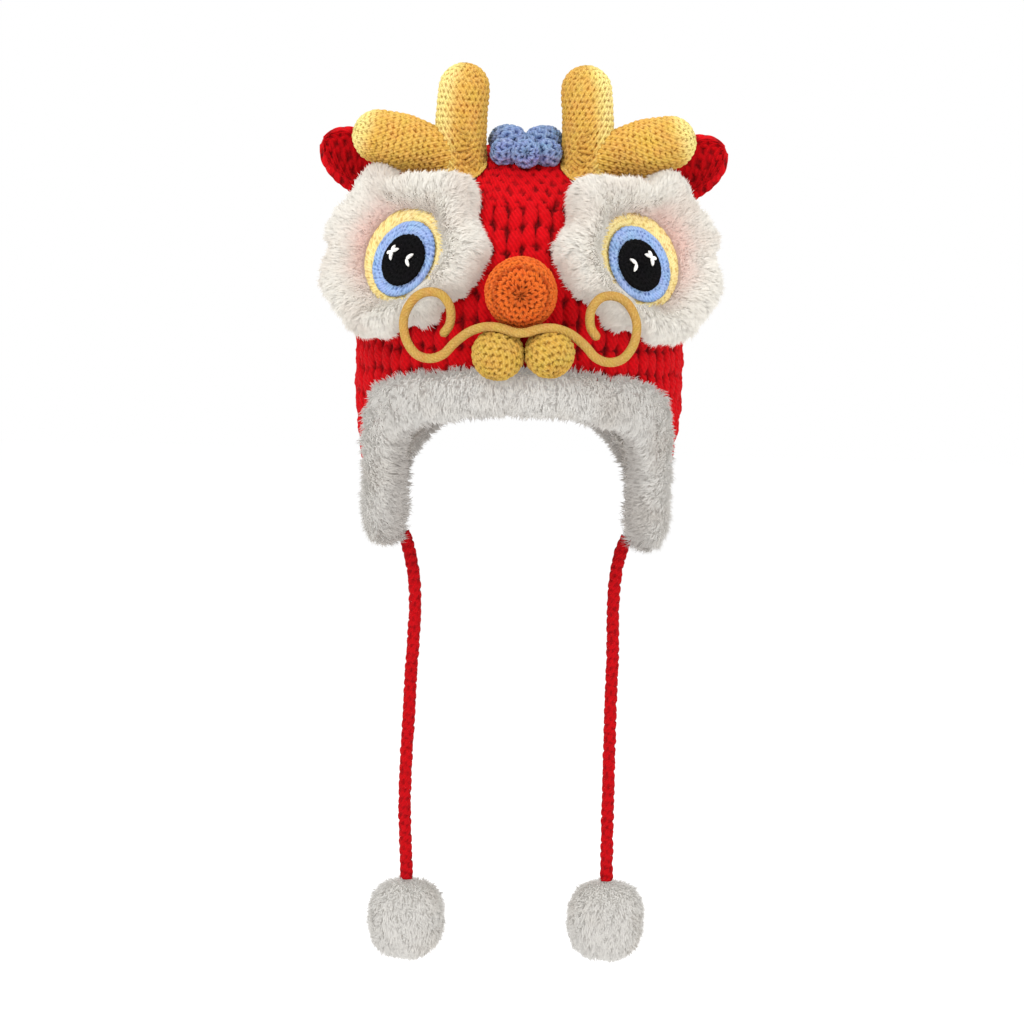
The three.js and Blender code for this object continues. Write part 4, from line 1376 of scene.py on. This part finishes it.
def route_run(route: Array) -> Array:
    """Distance along a route at each of its points."""
    return np.r_[0, np.cumsum(np.linalg.norm(np.diff(route, axis=0), axis=1))]


@dataclass
class EyeGlints:
    """The two small white sewn marks on a pupil."""

    frame: EyeFrame
    name: str
    height: float = 9.2 * MM
    centre: tuple[float, float] = (5.6 * MM, -4.7 * MM)
    strokes: tuple[tuple[tuple[float, float], tuple[float, float]], ...] = (
        ((-6.8, 4.0), (-5.3, 7.4)), ((-6.8, 4.0), (-2.7, 5.5)), ((-6.8, 4.0), (-9.7, 2.9)),
        ((-6.8, 4.0), (-7.0, -0.7)), ((2.8, 0.1), (6.6, 2.9)), ((2.8, 0.1), (4.8, -3.8)),
    )
    thread_radius: float = 0.95 * MM

    def build(self) -> bpy.types.Object:
        """Builds each stroke as a short plump thread, thin at both ends and bowed off the pupil."""
        builder = MeshBuilder()
        share = np.linspace(0, 1, 12)
        for start, end in self.strokes:
            flat = between(np.array(start), np.array(end), share[:, None]) * MM + np.array(self.centre)
            bow = self.height + 0.5 * MM * np.sin(math.pi * share)
            route = self.frame.point(flat[:, 0], flat[:, 1], bow)
            radii = self.thread_radius * np.sqrt(np.clip(1 - (1.9 * share - 0.85) ** 2, 0.02, 1))
            skin = swept_tube(route, radii, 10)
            places = np.zeros((len(route), 11, 2))
            places[..., 0] = np.linspace(0, 6, 11)
            places[..., 1] = (route_run(route) / MM)[:, None]
            builder.add_skin(skin, places, 0.3)
        piece = builder.build(f"eye_glints_{self.name}")
        return dress_piece(piece, WHITE_THREAD.build())


# Balls, limbs and leaves


def ball_skin(
    builder: MeshBuilder, centre: Array, half: Array, axis: Array, rounds: Rounds, grid: tuple[int, int],
    form: HatForm | None = None, tint: Callable[[Array, Array], Array] | None = None,
) -> None:
    """Adds a crocheted ball that is worked from one pole to the other.

    Args:
        builder: the mesh to add to.
        centre: the ball's middle.
        half: its half sizes along x, y and z.
        axis: direction of the pole that the work starts from.
        rounds: the stitches.
        grid: rows and columns of vertices.
        form: the hat's form, where the ball sits on it.
        tint: for angles from the first pole and directions out of the ball, how much of the
            finish's second colour shows.
    """
    rows, columns = grid
    polar = np.linspace(0.02, math.pi - 0.02, rows)[:, None]
    turn = np.broadcast_to(np.arange(columns) / columns, (rows, columns))
    forward = unit(np.asarray(axis, float))
    aside = unit(np.cross(forward, [0.2, 0.3, 1.0]))
    other = np.cross(forward, aside)
    angle = turn[..., None] * FULL_TURN
    direction = (
        np.cos(polar)[..., None] * forward
        + np.sin(polar)[..., None] * (np.cos(angle) * aside + np.sin(angle) * other)
    )
    points = np.asarray(centre) + direction * np.asarray(half)
    if form is not None:
        points = form.push_out(points, GAP)
    radius = float(np.mean(half))
    arc = np.broadcast_to(polar * radius, turn.shape)
    girth_at = polar[:, 0] * radius
    rounds.dress(
        builder, points, arc, turn, girth_at, FULL_TURN * radius * np.sin(polar[:, 0]),
        tint=tint(polar, direction) if tint else 0.0,
    )


@dataclass
class Snout:
    """The nose, the two muzzle balls and the whisker cord."""

    form: HatForm
    nose_radius: float = 18.0 * MM
    nose_centre: tuple[float, float, float] = (0, -110.5 * MM, -68.4 * MM)
    muzzle_radii: tuple[float, float] = (13.1 * MM, 12.5 * MM)
    muzzle_centre: tuple[float, float, float] = (2.4 * MM, -112 * MM, -98.9 * MM)
    muzzle_skew: float = 0.6 * MM
    whisker_radius: float = 2.35 * MM
    whisker_half: tuple[tuple[float, float, float], ...] = (
        (0, -121.2, -88.4), (3.6, -121.2, -88.0), (8.2, -120.8, -86.6), (13, -119.8, -85.7),
        (19, -117.5, -86.1),
        (26.1, -113.5, -88.9), (33.1, -110, -94.5), (38.8, -107.8, -100.4), (45.9, -105, -102.6),
        (53, -102.5, -100.2), (58.2, -100, -92.3), (59.1, -99, -82.4), (55.1, -100, -73.7),
        (48.7, -102, -69.3), (40.9, -105, -69.9), (35.8, -107, -76.2), (35.6, -107, -84.7),
        (39.7, -106, -91.2),
    )

    def build_nose(self) -> bpy.types.Object:
        """Builds the nose, worked from a middle that looks forward and a little down."""
        builder = MeshBuilder()
        axis = np.array([0.0, -math.cos(math.radians(4)), -math.sin(math.radians(4))])
        rounds = Rounds(Stitch.VEE, 3.9 * MM, 3.5 * MM, 0.75 * MM, unevenness=0.3)
        # Painted shade: the tint darkens the middle and a narrow groove ring round it
        ball_skin(
            builder, self.nose_centre, np.full(3, self.nose_radius), axis, rounds, (86, 150), self.form,
            lambda polar, direction: 0.45 - 0.45 * step_up(polar, 0.0, 0.55)
            + 0.75 * np.exp(-(((polar - 0.86) / 0.08) ** 2)) + 0 * direction[..., 0],
        )
        return dress_piece(builder.build("nose_ball"), ORANGE_YARN.build(), ("nose",))

    def build_muzzle(self, name: str) -> bpy.types.Object:
        """Builds a muzzle ball, worked from below."""
        builder = MeshBuilder()
        side = SIDES[name]
        radius = self.muzzle_radii[side > 0]
        centre = np.array(self.muzzle_centre) + [side * (radius + GAP / 2), 0, side * self.muzzle_skew]
        axis = np.array([0.25 * side, -0.35, -1.0])
        rounds = Rounds(Stitch.VEE, 4.0 * MM, 3.6 * MM, 0.65 * MM, unevenness=0.35)
        ball_skin(builder, centre, np.full(3, radius), axis, rounds, (60, 100), self.form)
        piece = builder.build(f"muzzle_ball_yarn_{name}")
        return dress_piece(piece, PALE_GOLD_YARN.build(), (f"muzzle_ball_{name}",))

    def whisker_route(self, count: int) -> Array:
        """Points evenly spaced along the whisker cord, from the left tip to the right one."""
        half = np.array(self.whisker_half)
        return spline(np.vstack([half[:0:-1] * [-1, 1, 1], half]) * MM, count)

    def build_whiskers(self) -> bpy.types.Object:
        """Builds the whisker cord: yarn wound on a core, whose turns show as fine ridges."""
        route = self.whisker_route(560)
        run = route_run(route)
        from_end = np.minimum(run, run[-1] - run)
        rounding = np.sqrt(np.clip(1 - (1 - from_end / self.whisker_radius) ** 2, 0.05, 1))
        radii = self.whisker_radius * np.where(from_end < self.whisker_radius, rounding, 1.0)
        sides = 14
        skin = swept_tube(route, radii, sides)
        turn = np.broadcast_to(np.arange(sides) / sides, skin.shape[:2])
        ridge = np.sin(FULL_TURN * (run[:, None] / (1.15 * MM) + turn))
        skin = skin + grid_normals(skin) * (0.09 * MM * ridge)[..., None]
        places = np.stack([
            np.broadcast_to(np.arange(sides + 1) / sides * FULL_TURN * self.whisker_radius, (len(run), sides + 1)),
            np.broadcast_to(run[:, None], (len(run), sides + 1)),
        ], axis=-1) / MM
        builder = MeshBuilder()
        # The ridges' relief also paints shade into the grooves between the turns
        builder.add_skin(skin, places, 0.2 + 0.35 * ridge)
        return dress_piece(builder.build("whisker_yarn"), WHISKER_YARN.build(), ("whiskers",))


@dataclass
class Antler:
    """A stuffed antler: an upright stem and a tine that reaches sideways.

    The places of the stations count from the root as shares of the height, and the radii are
    shares of the radius, as in the part.
    """

    form: HatForm
    name: str
    sewing_stitches: int = 11
    sewing_length: float = 7 * MM
    root: tuple[float, float, float] = (31.5 * MM, -45 * MM, -16 * MM)
    height: float = 53 * MM
    radius: float = 13.8 * MM
    stem: tuple[tuple[float, float, float, float], ...] = (
        (-0.01, 0, 0, 1.05), (0.03, 0.02, 0.36, 0.97), (0.03, 0.04, 0.68, 0.96), (0.006, 0.057, 1, 0.94),
    )
    tine: tuple[tuple[float, float, float, float], ...] = (
        (0.03, 0.02, 0.28, 0.83), (0.31, 0.057, 0.38, 0.91), (0.594, 0.094, 0.447, 1.09),
        (0.83, 0.13, 0.51, 0.99),
    )

    def limb(self, builder: MeshBuilder, stations: tuple[tuple[float, float, float, float], ...]) -> None:
        """Adds one limb, worked from its tip to its root.

        The skin is a tube round a smooth route, closed by a half ball at the tip: past the last
        station the centre moves on by the sine and the radius shrinks by the cosine of an angle.
        """
        rows, tip_rows, columns = 68, 20, 116
        table = spline(np.array(stations), rows)
        centre = np.array(self.root) + table[:, :3] * [1, -1, 1] * self.height
        radius = table[:, 3] * self.radius
        heading = unit(np.gradient(centre, axis=0))
        rise = np.linspace(0, math.pi / 2 - 0.03, tip_rows + 1)[1:]
        centre = np.vstack([centre, centre[-1] + heading[-1] * (radius[-1] * np.sin(rise))[:, None]])
        heading = np.vstack([heading, np.broadcast_to(heading[-1], (tip_rows, 3))])
        radius = np.r_[radius, radius[-1] * np.cos(rise)]
        back = unit(np.array([0, 1.0, 0]) - heading * heading[:, 1:2])
        across = np.cross(heading, back)
        turn = np.broadcast_to(np.arange(columns) / columns, (len(centre), columns))
        angle = turn[..., None] * FULL_TURN
        ring = np.cos(angle) * across[:, None] + np.sin(angle) * back[:, None]
        points = centre[:, None] + ring * radius[:, None, None]
        profile = np.stack([route_run(centre), radius], axis=-1)
        run = route_run(profile)
        arc = run[-1] - run
        points = (points * [SIDES[self.name], 1, 1])[::-1]
        points = self.form.push_out(points, GAP)
        rounds = Rounds(Stitch.VEE, 3.4 * MM, 3.1 * MM, 0.62 * MM, unevenness=0.3)
        arcs = np.broadcast_to(arc[::-1, None], turn.shape)
        # Painted highlight: the tint lightens the side that faces outwards and up, away from the root
        outer_side = grid_normals(points) @ unit(np.array([SIDES[self.name], 0, 0.35]))
        rounds.dress(
            builder, points, arcs, turn, arc[::-1], FULL_TURN * radius[::-1],
            tint=step_up(outer_side, 0.05, 0.85) * step_up(arc[0] - arcs, 4 * MM, 14 * MM),
        )

    def sew(self, builder: MeshBuilder) -> None:
        """Adds the long stitches that fan out where the tine is sewn to the stem."""
        side = SIDES[self.name]
        fan = np.linspace(0, 1, self.sewing_stitches)
        heading = np.radians(between(135.0, 275.0, fan) + 24 * (scatter(fan * 17, fan) - 0.5))
        foot_x, foot_z = between(31.0, 22.0, fan) * MM, between(15.0, -8.0, fan) * MM
        reach = self.sewing_length * (0.55 + 0.8 * scatter(fan * 31, fan))
        share = np.linspace(0, 1, 9)[:, None]
        x = foot_x + np.cos(heading) * -reach * share
        z = foot_z + np.sin(heading) * reach * share
        middle = np.array(self.root) + np.array([0.03, -0.02, 0]) * self.height
        for k in range(self.sewing_stitches):
            aside = np.minimum(np.abs(x[:, k] - middle[0]), 0.95 * self.radius)
            front = middle[1] - np.sqrt(self.radius**2 - aside**2)
            bow = front - 0.5 * MM * np.sin(math.pi * share[:, 0])
            route = np.stack([x[:, k] * side, bow, z[:, k]], axis=-1)
            radii = 0.95 * MM * np.sqrt(np.clip(1 - (1.9 * share[:, 0] - 0.95) ** 2, 0.05, 1))
            skin = swept_tube(route, radii, 8)
            builder.add_skin(skin, np.zeros((9, 9, 2)), 0.1)

    def build(self) -> bpy.types.Object:
        """Builds the antler."""
        builder = MeshBuilder()
        self.limb(builder, self.stem)
        self.limb(builder, self.tine)
        self.sew(builder)
        piece = builder.build(f"antler_yarn_{self.name}")
        return dress_piece(piece, GOLD_YARN.build(), (f"antler_{self.name}",))


@dataclass
class Ear:
    """A cupped crocheted leaf behind an antler."""

    form: HatForm
    name: str
    root: tuple[float, float, float] = (61 * MM, 4 * MM, -20 * MM)
    end: tuple[float, float, float] = (107 * MM, -13 * MM, 9.5 * MM)
    half_width: float = 17.4 * MM
    cup_radius: float = 16 * MM
    wall: float = 4 * MM
    slant: float = 0.17
    outline_along: tuple[float, ...] = (0, 0.2, 0.45, 0.6, 0.77, 0.88, 0.96, 1.0)
    outline_width: tuple[float, ...] = (0.72, 0.9, 1, 1.02, 0.92, 0.7, 0.42, 0.12)

    def build(self) -> bpy.types.Object:
        """Builds the leaf.

        Round the section, the place across is a cosine and the depth a sine, both flattened by a
        root so that the wall is even and its edge round. The section is bent on the cup's arc.
        """
        rows, columns = 72, 96
        start, end = np.array(self.root), np.array(self.end)
        along = unit(end - start)
        up = unit(np.array([0, 0, 1.0]) - along * along[2])
        opening = np.cross(up, along)
        opening = -opening if opening[1] > 0 else opening
        share = np.sin(np.linspace(0, math.pi / 2, rows))[:, None]
        table = spline(np.column_stack([self.outline_along, self.outline_width]), 160)
        width = np.interp(share, table[:, 0], table[:, 1]) * self.half_width
        turn = np.broadcast_to(np.arange(columns) / columns, (rows, columns))
        cosine, sine = np.cos(turn * FULL_TURN), np.sin(turn * FULL_TURN)
        across = np.sign(cosine) * np.abs(cosine) ** 0.9 * width
        rolled = 0.8 + 1.1 * np.abs(cosine) ** 4
        depth = np.sign(sine) * np.abs(sine) ** 0.35 * self.wall / 2 * rolled
        angle = across / self.cup_radius
        radius = self.cup_radius + depth
        points = (
            start + along * (share * np.linalg.norm(end - start) + self.slant * across * share)[..., None]
            + up * (radius * np.sin(angle))[..., None]
            + opening * (self.cup_radius - radius * np.cos(angle))[..., None]
        ) * [SIDES[self.name], 1, 1]
        points = self.form.push_out(points, GAP)
        length = float(np.linalg.norm(end - start))
        arc = np.broadcast_to(share * length, turn.shape)
        rounds = Rounds(Stitch.VEE, 5.6 * MM, 4.6 * MM, 0.6 * MM, spiral=False, unevenness=0.4)
        girth = np.full(rows, 4 * self.half_width)
        builder = MeshBuilder()
        # Painted shade: the tint darkens the inside of the cup
        inside = step_up(-sine, -0.1, 0.5) * (1 - step_up(np.abs(cosine), 0.3, 0.85)) * step_up(1 - share, 0, 0.3)
        rounds.dress(builder, points, arc, turn, share[:, 0] * length, girth, fade=0.66, tint=inside)
        piece = builder.build(f"ear_yarn_{self.name}")
        return dress_piece(piece, RED_YARN.build(), (f"ear_{self.name}",))


@dataclass
class Flower:
    """Five blue bobbles round a small middle, tipped forward on the dome."""

    form: HatForm
    centre: tuple[float, float, float] = (1 * MM, -49 * MM, 7.4 * MM)
    tip: float = math.radians(20)
    ring: float = 12 * MM
    bobble: float = 7.2 * MM
    heart: float = 6 * MM
    bobbles: tuple[tuple[float, float, float, float], ...] = (
        (0, 1, 1, 0), (68, 1.0, 1.0, 1.8 * MM), (138, 1.15, 1.25, 0), (222, 1.15, 1.25, 0),
        (292, 1.0, 1.0, 1.8 * MM),
    )

    @staticmethod
    def underside_shade(_: Array, direction: Array) -> Array:
        """How much painted lavender shade shows: more the further the yarn faces down."""
        return 0.8 * step_up(-direction[..., 2], -0.3, 0.7)

    def build(self) -> bpy.types.Object:
        """Builds the flower, each bobble worked from its outer side."""
        builder = MeshBuilder()
        rounds = Rounds(Stitch.VEE, 4.4 * MM, 3.8 * MM, 0.9 * MM, unevenness=0.35)
        tip = np.array(Matrix.Rotation(self.tip, 3, "X"))
        centre = np.array(self.centre)
        ball_skin(
            builder, centre, np.full(3, self.heart), tip @ [0, 0, 1], rounds, (30, 44), self.form,
            self.underside_shade,
        )
        for turn, reach, size, drop in self.bobbles:
            place = np.array([math.sin(math.radians(turn)), -math.cos(math.radians(turn)), 0])
            middle = centre + tip @ (place * self.ring * reach) - [0, 0, drop]
            axis = tip @ (place + [0, 0, 0.4])
            half = self.bobble * size * (np.array([1.12, 1, 0.88]) if size > 1.1 else np.ones(3))
            ball_skin(builder, middle, half, axis, rounds, (38, 62), self.form, self.underside_shade)
        return dress_piece(builder.build("flower_bobbles"), BLUE_YARN.build(), ("bobble_flower",))


# Ties


@dataclass
class Tie:
    """A free crocheted cord that hangs from a flap's tip, with a fur pompom on its end.

    Attributes:
        name: left or right.
        route: the part's own points in millimetres.
    """

    name: str
    route: tuple[tuple[float, float, float], ...]
    radius: float = 3.2 * MM
    pompom_half_width: float = 20 * MM
    pompom_half_height: float = 21 * MM
    pompom_squareness: float = 2.8
    sides: int = 18
    stations: int = 320

    def build_pompom(self) -> bpy.types.Object:
        """Builds the pompom: a ball a little squarer than a sphere, with short dense fur."""
        end = np.array(self.route[-1]) * MM
        centre = end - [0, 0, GAP + self.pompom_half_height]
        pelt = 0.86
        half = np.array([self.pompom_half_width, self.pompom_half_width, self.pompom_half_height]) * pelt
        power = self.pompom_squareness

        def points(around: Array, along: Array) -> Array:
            """Points of the pelt: a direction scaled by its power mean, with low uneven lobes."""
            polar, angle = along * math.pi, around * FULL_TURN
            direction = np.stack([
                np.sin(polar) * np.cos(angle), np.sin(polar) * np.sin(angle), np.cos(polar) + 0 * angle,
            ], axis=-1)
            scale = np.sum(np.abs(direction) ** power, axis=-1) ** (-1 / power)
            lobes = 1 + 0.035 * np.sin(3 * angle + 2.0) * np.sin(2 * polar) + 0.03 * np.sin(5 * angle) * np.sin(polar)
            return centre + direction * (scale * lobes)[..., None] * half

        pile = Pile(13000, 4.8 * MM, 0.7 * MM, 0.45, 0.3, (26, 14), 0.25, 0.04)
        fur = Fur(
            points, pile, lambda along: 0.7 + 0 * along, seed=21 + SIDES[self.name], grid=(30, 60)
        )
        builder = MeshBuilder()
        fur.add(builder)
        piece = builder.build(f"pompom_fur_{self.name}")
        builder.light_by_skin(piece)
        return dress_piece(piece, TRIM_FUR.build(), (f"pompom_{self.name}",))

    def build(self) -> bpy.types.Object:
        route = spline(np.array(self.route) * MM, self.stations)
        run = route_run(route)
        skin = swept_tube(route, np.full(self.stations, self.radius), self.sides)
        turn = np.broadcast_to(np.arange(self.sides) / self.sides, skin.shape[:2])
        arc = np.broadcast_to(run[:, None], skin.shape[:2])
        rounds = Rounds(Stitch.VEE, 5.0 * MM, 4.6 * MM, 0.5 * MM, unevenness=0.45)
        builder = MeshBuilder()
        rounds.dress(builder, skin, arc, turn, run, np.full(len(run), FULL_TURN * self.radius))
        piece = builder.build(f"tie_cord_{self.name}")
        dress_piece(piece, RED_CORD.build(), (f"tie_{self.name}",))
        self.build_pompom()
        return piece


TIE_LEFT_ROUTE = (
    (-60.5, 0, -199), (-58.6, 0, -204), (-56.4, 0.3, -212), (-54.6, 0.8, -221), (-53.6, 1.2, -231),
    (-53.3, 1.5, -243), (-53.8, 1.6, -256), (-54.5, 1.4, -270), (-55.1, 1, -284), (-55.4, 0.5, -298),
    (-56, 0, -312), (-56.5, -0.4, -326), (-56.8, -0.6, -340), (-56.5, -0.6, -354), (-55.9, -0.4, -367),
    (-55.2, -0.1, -379), (-54.8, 0, -388.2),
)
TIE_RIGHT_ROUTE = (
    (60.5, 0, -199), (58.4, 0, -204), (56.3, 0.2, -211), (54.9, 0.6, -220), (54.1, 1, -230),
    (53.9, 1.2, -242), (54.2, 1.2, -255), (54.2, 1, -269), (53.9, 0.7, -283), (53.8, 0.3, -297),
    (53.8, 0, -311), (53.6, -0.3, -325), (53.6, -0.4, -339), (53.6, -0.4, -353), (53.7, -0.2, -366),
    (53.8, 0, -378), (53.9, 0, -386.8),
)


# Stage


@dataclass
class Studio:
    """The camera at the photograph's angle, a pale floor and soft light.

    Attributes:
        distance: from the camera to the middle of the hat.
        look_at_x: the middle of the frame across.
        look_at_z: the middle of the frame up.
        elevation: how far the camera looks down.
        roll: how far it is turned about its own axis.
        lens: focal length in millimetres on a 36 mm sensor.
        floor_height: the floor lies well below the pompoms.
    """

    distance: float = 1.8
    look_at_x: float = -2 * MM
    look_at_z: float = -187 * MM
    elevation: float = math.radians(4)
    roll: float = math.radians(1.3)
    lens: float = 117.19
    floor_height: float = -0.62
    floor_radius: float = 9.0

    def build_camera(self) -> None:
        """Sets the camera up as the scene's own."""
        data = bpy.data.cameras.new("photo_camera")
        data.lens = self.lens
        data.sensor_width = 36.0
        camera = bpy.data.objects.new("photo_camera", data)
        bpy.context.scene.collection.objects.link(camera)
        forward = Vector((0, math.cos(self.elevation), -math.sin(self.elevation)))
        level_up = Vector((0, math.sin(self.elevation), math.cos(self.elevation)))
        right = Vector((math.cos(self.roll), 0, 0)) + level_up * math.sin(self.roll)
        up = level_up * math.cos(self.roll) - Vector((math.sin(self.roll), 0, 0))
        turned = Matrix((right, up, -forward)).transposed().to_4x4()
        middle = Vector((self.look_at_x, 0, self.look_at_z))
        camera.matrix_world = Matrix.Translation(middle - forward * self.distance) @ turned
        bpy.context.scene.camera = camera

    def build_floor(self) -> None:
        """Builds a wide round floor in pale matt paper."""
        angle = np.linspace(0, FULL_TURN, 96, endpoint=False)
        ring = np.stack([np.cos(angle), np.sin(angle), 0 * angle], axis=-1) * self.floor_radius
        vertices = ring + [0, 0, self.floor_height]
        mesh = bpy.data.meshes.new("studio_floor")
        mesh.from_pydata(vertices.tolist(), [], [list(range(96))])
        floor = bpy.data.objects.new("studio_floor", mesh)
        bpy.context.scene.collection.objects.link(floor)
        paper = bpy.data.materials.new("pale_matt_paper")
        paper.use_nodes = True
        shader = paper.node_tree.nodes["Principled BSDF"]
        shader.inputs["Base Color"].default_value = linear("#ffffff")
        shader.inputs["Roughness"].default_value = 1.0
        shader.inputs["Specular IOR Level"].default_value = 0.0
        mesh.materials.append(paper)

    def add_lamp(
        self, name: str, place: tuple[float, float, float], size: float, power: float
    ) -> None:
        """Adds a square soft lamp that looks at the hat."""
        data = bpy.data.lights.new(name, "AREA")
        data.size = size
        data.energy = power
        lamp = bpy.data.objects.new(name, data)
        bpy.context.scene.collection.objects.link(lamp)
        target = Vector((0, 0, -0.12))
        lamp.location = place
        lamp.rotation_euler = (target - Vector(place)).to_track_quat("-Z", "Y").to_euler()

    def build_light(self) -> None:
        """Lights the hat from above and both sides, with a white world all round."""
        world = bpy.data.worlds.new("white_studio")
        world.use_nodes = True
        world.node_tree.nodes["Background"].inputs["Color"].default_value = (1, 1, 1, 1)
        world.node_tree.nodes["Background"].inputs["Strength"].default_value = 1.0
        bpy.context.scene.world = world
        self.add_lamp("key_lamp", (-0.9, -1.5, 1.1), 0.9, 20.0)
        self.add_lamp("fill_lamp", (1.3, -1.3, 0.5), 1.2, 9.0)
        self.add_lamp("top_lamp", (0.1, 0.3, 1.5), 1.0, 10.0)

    def build(self) -> None:
        """Builds the camera, the floor and the light."""
        self.build_camera()
        self.build_floor()
        self.build_light()
        scene = bpy.context.scene
        scene.view_settings.view_transform = "Standard"
        scene.view_settings.look = "None"


def main() -> None:
    """Builds the studio and every piece of the hat."""
    logging.basicConfig(level=logging.INFO, format="%(message)s")
    Studio().build()
    for name, route in (("left", TIE_LEFT_ROUTE), ("right", TIE_RIGHT_ROUTE)):
        Tie(name, route).build()
    form = HatForm()
    Crown(form).build()
    Lining(form).build()
    FurTrim(form).build()
    snout = Snout(form)
    snout.build_nose()
    snout.build_whiskers()
    Flower(form).build()
    for name, side in SIDES.items():
        eye = EyeFrame(side)
        EyePatch(form, eye, name, whiskers=snout.whisker_route(150)).build()
        for disc in eye_discs():
            disc.build(eye, name)
        EyeGlints(eye, name).build()
        snout.build_muzzle(name)
        Antler(form, name).build()
        Ear(form, name).build()


if __name__ == "__main__":
    main()
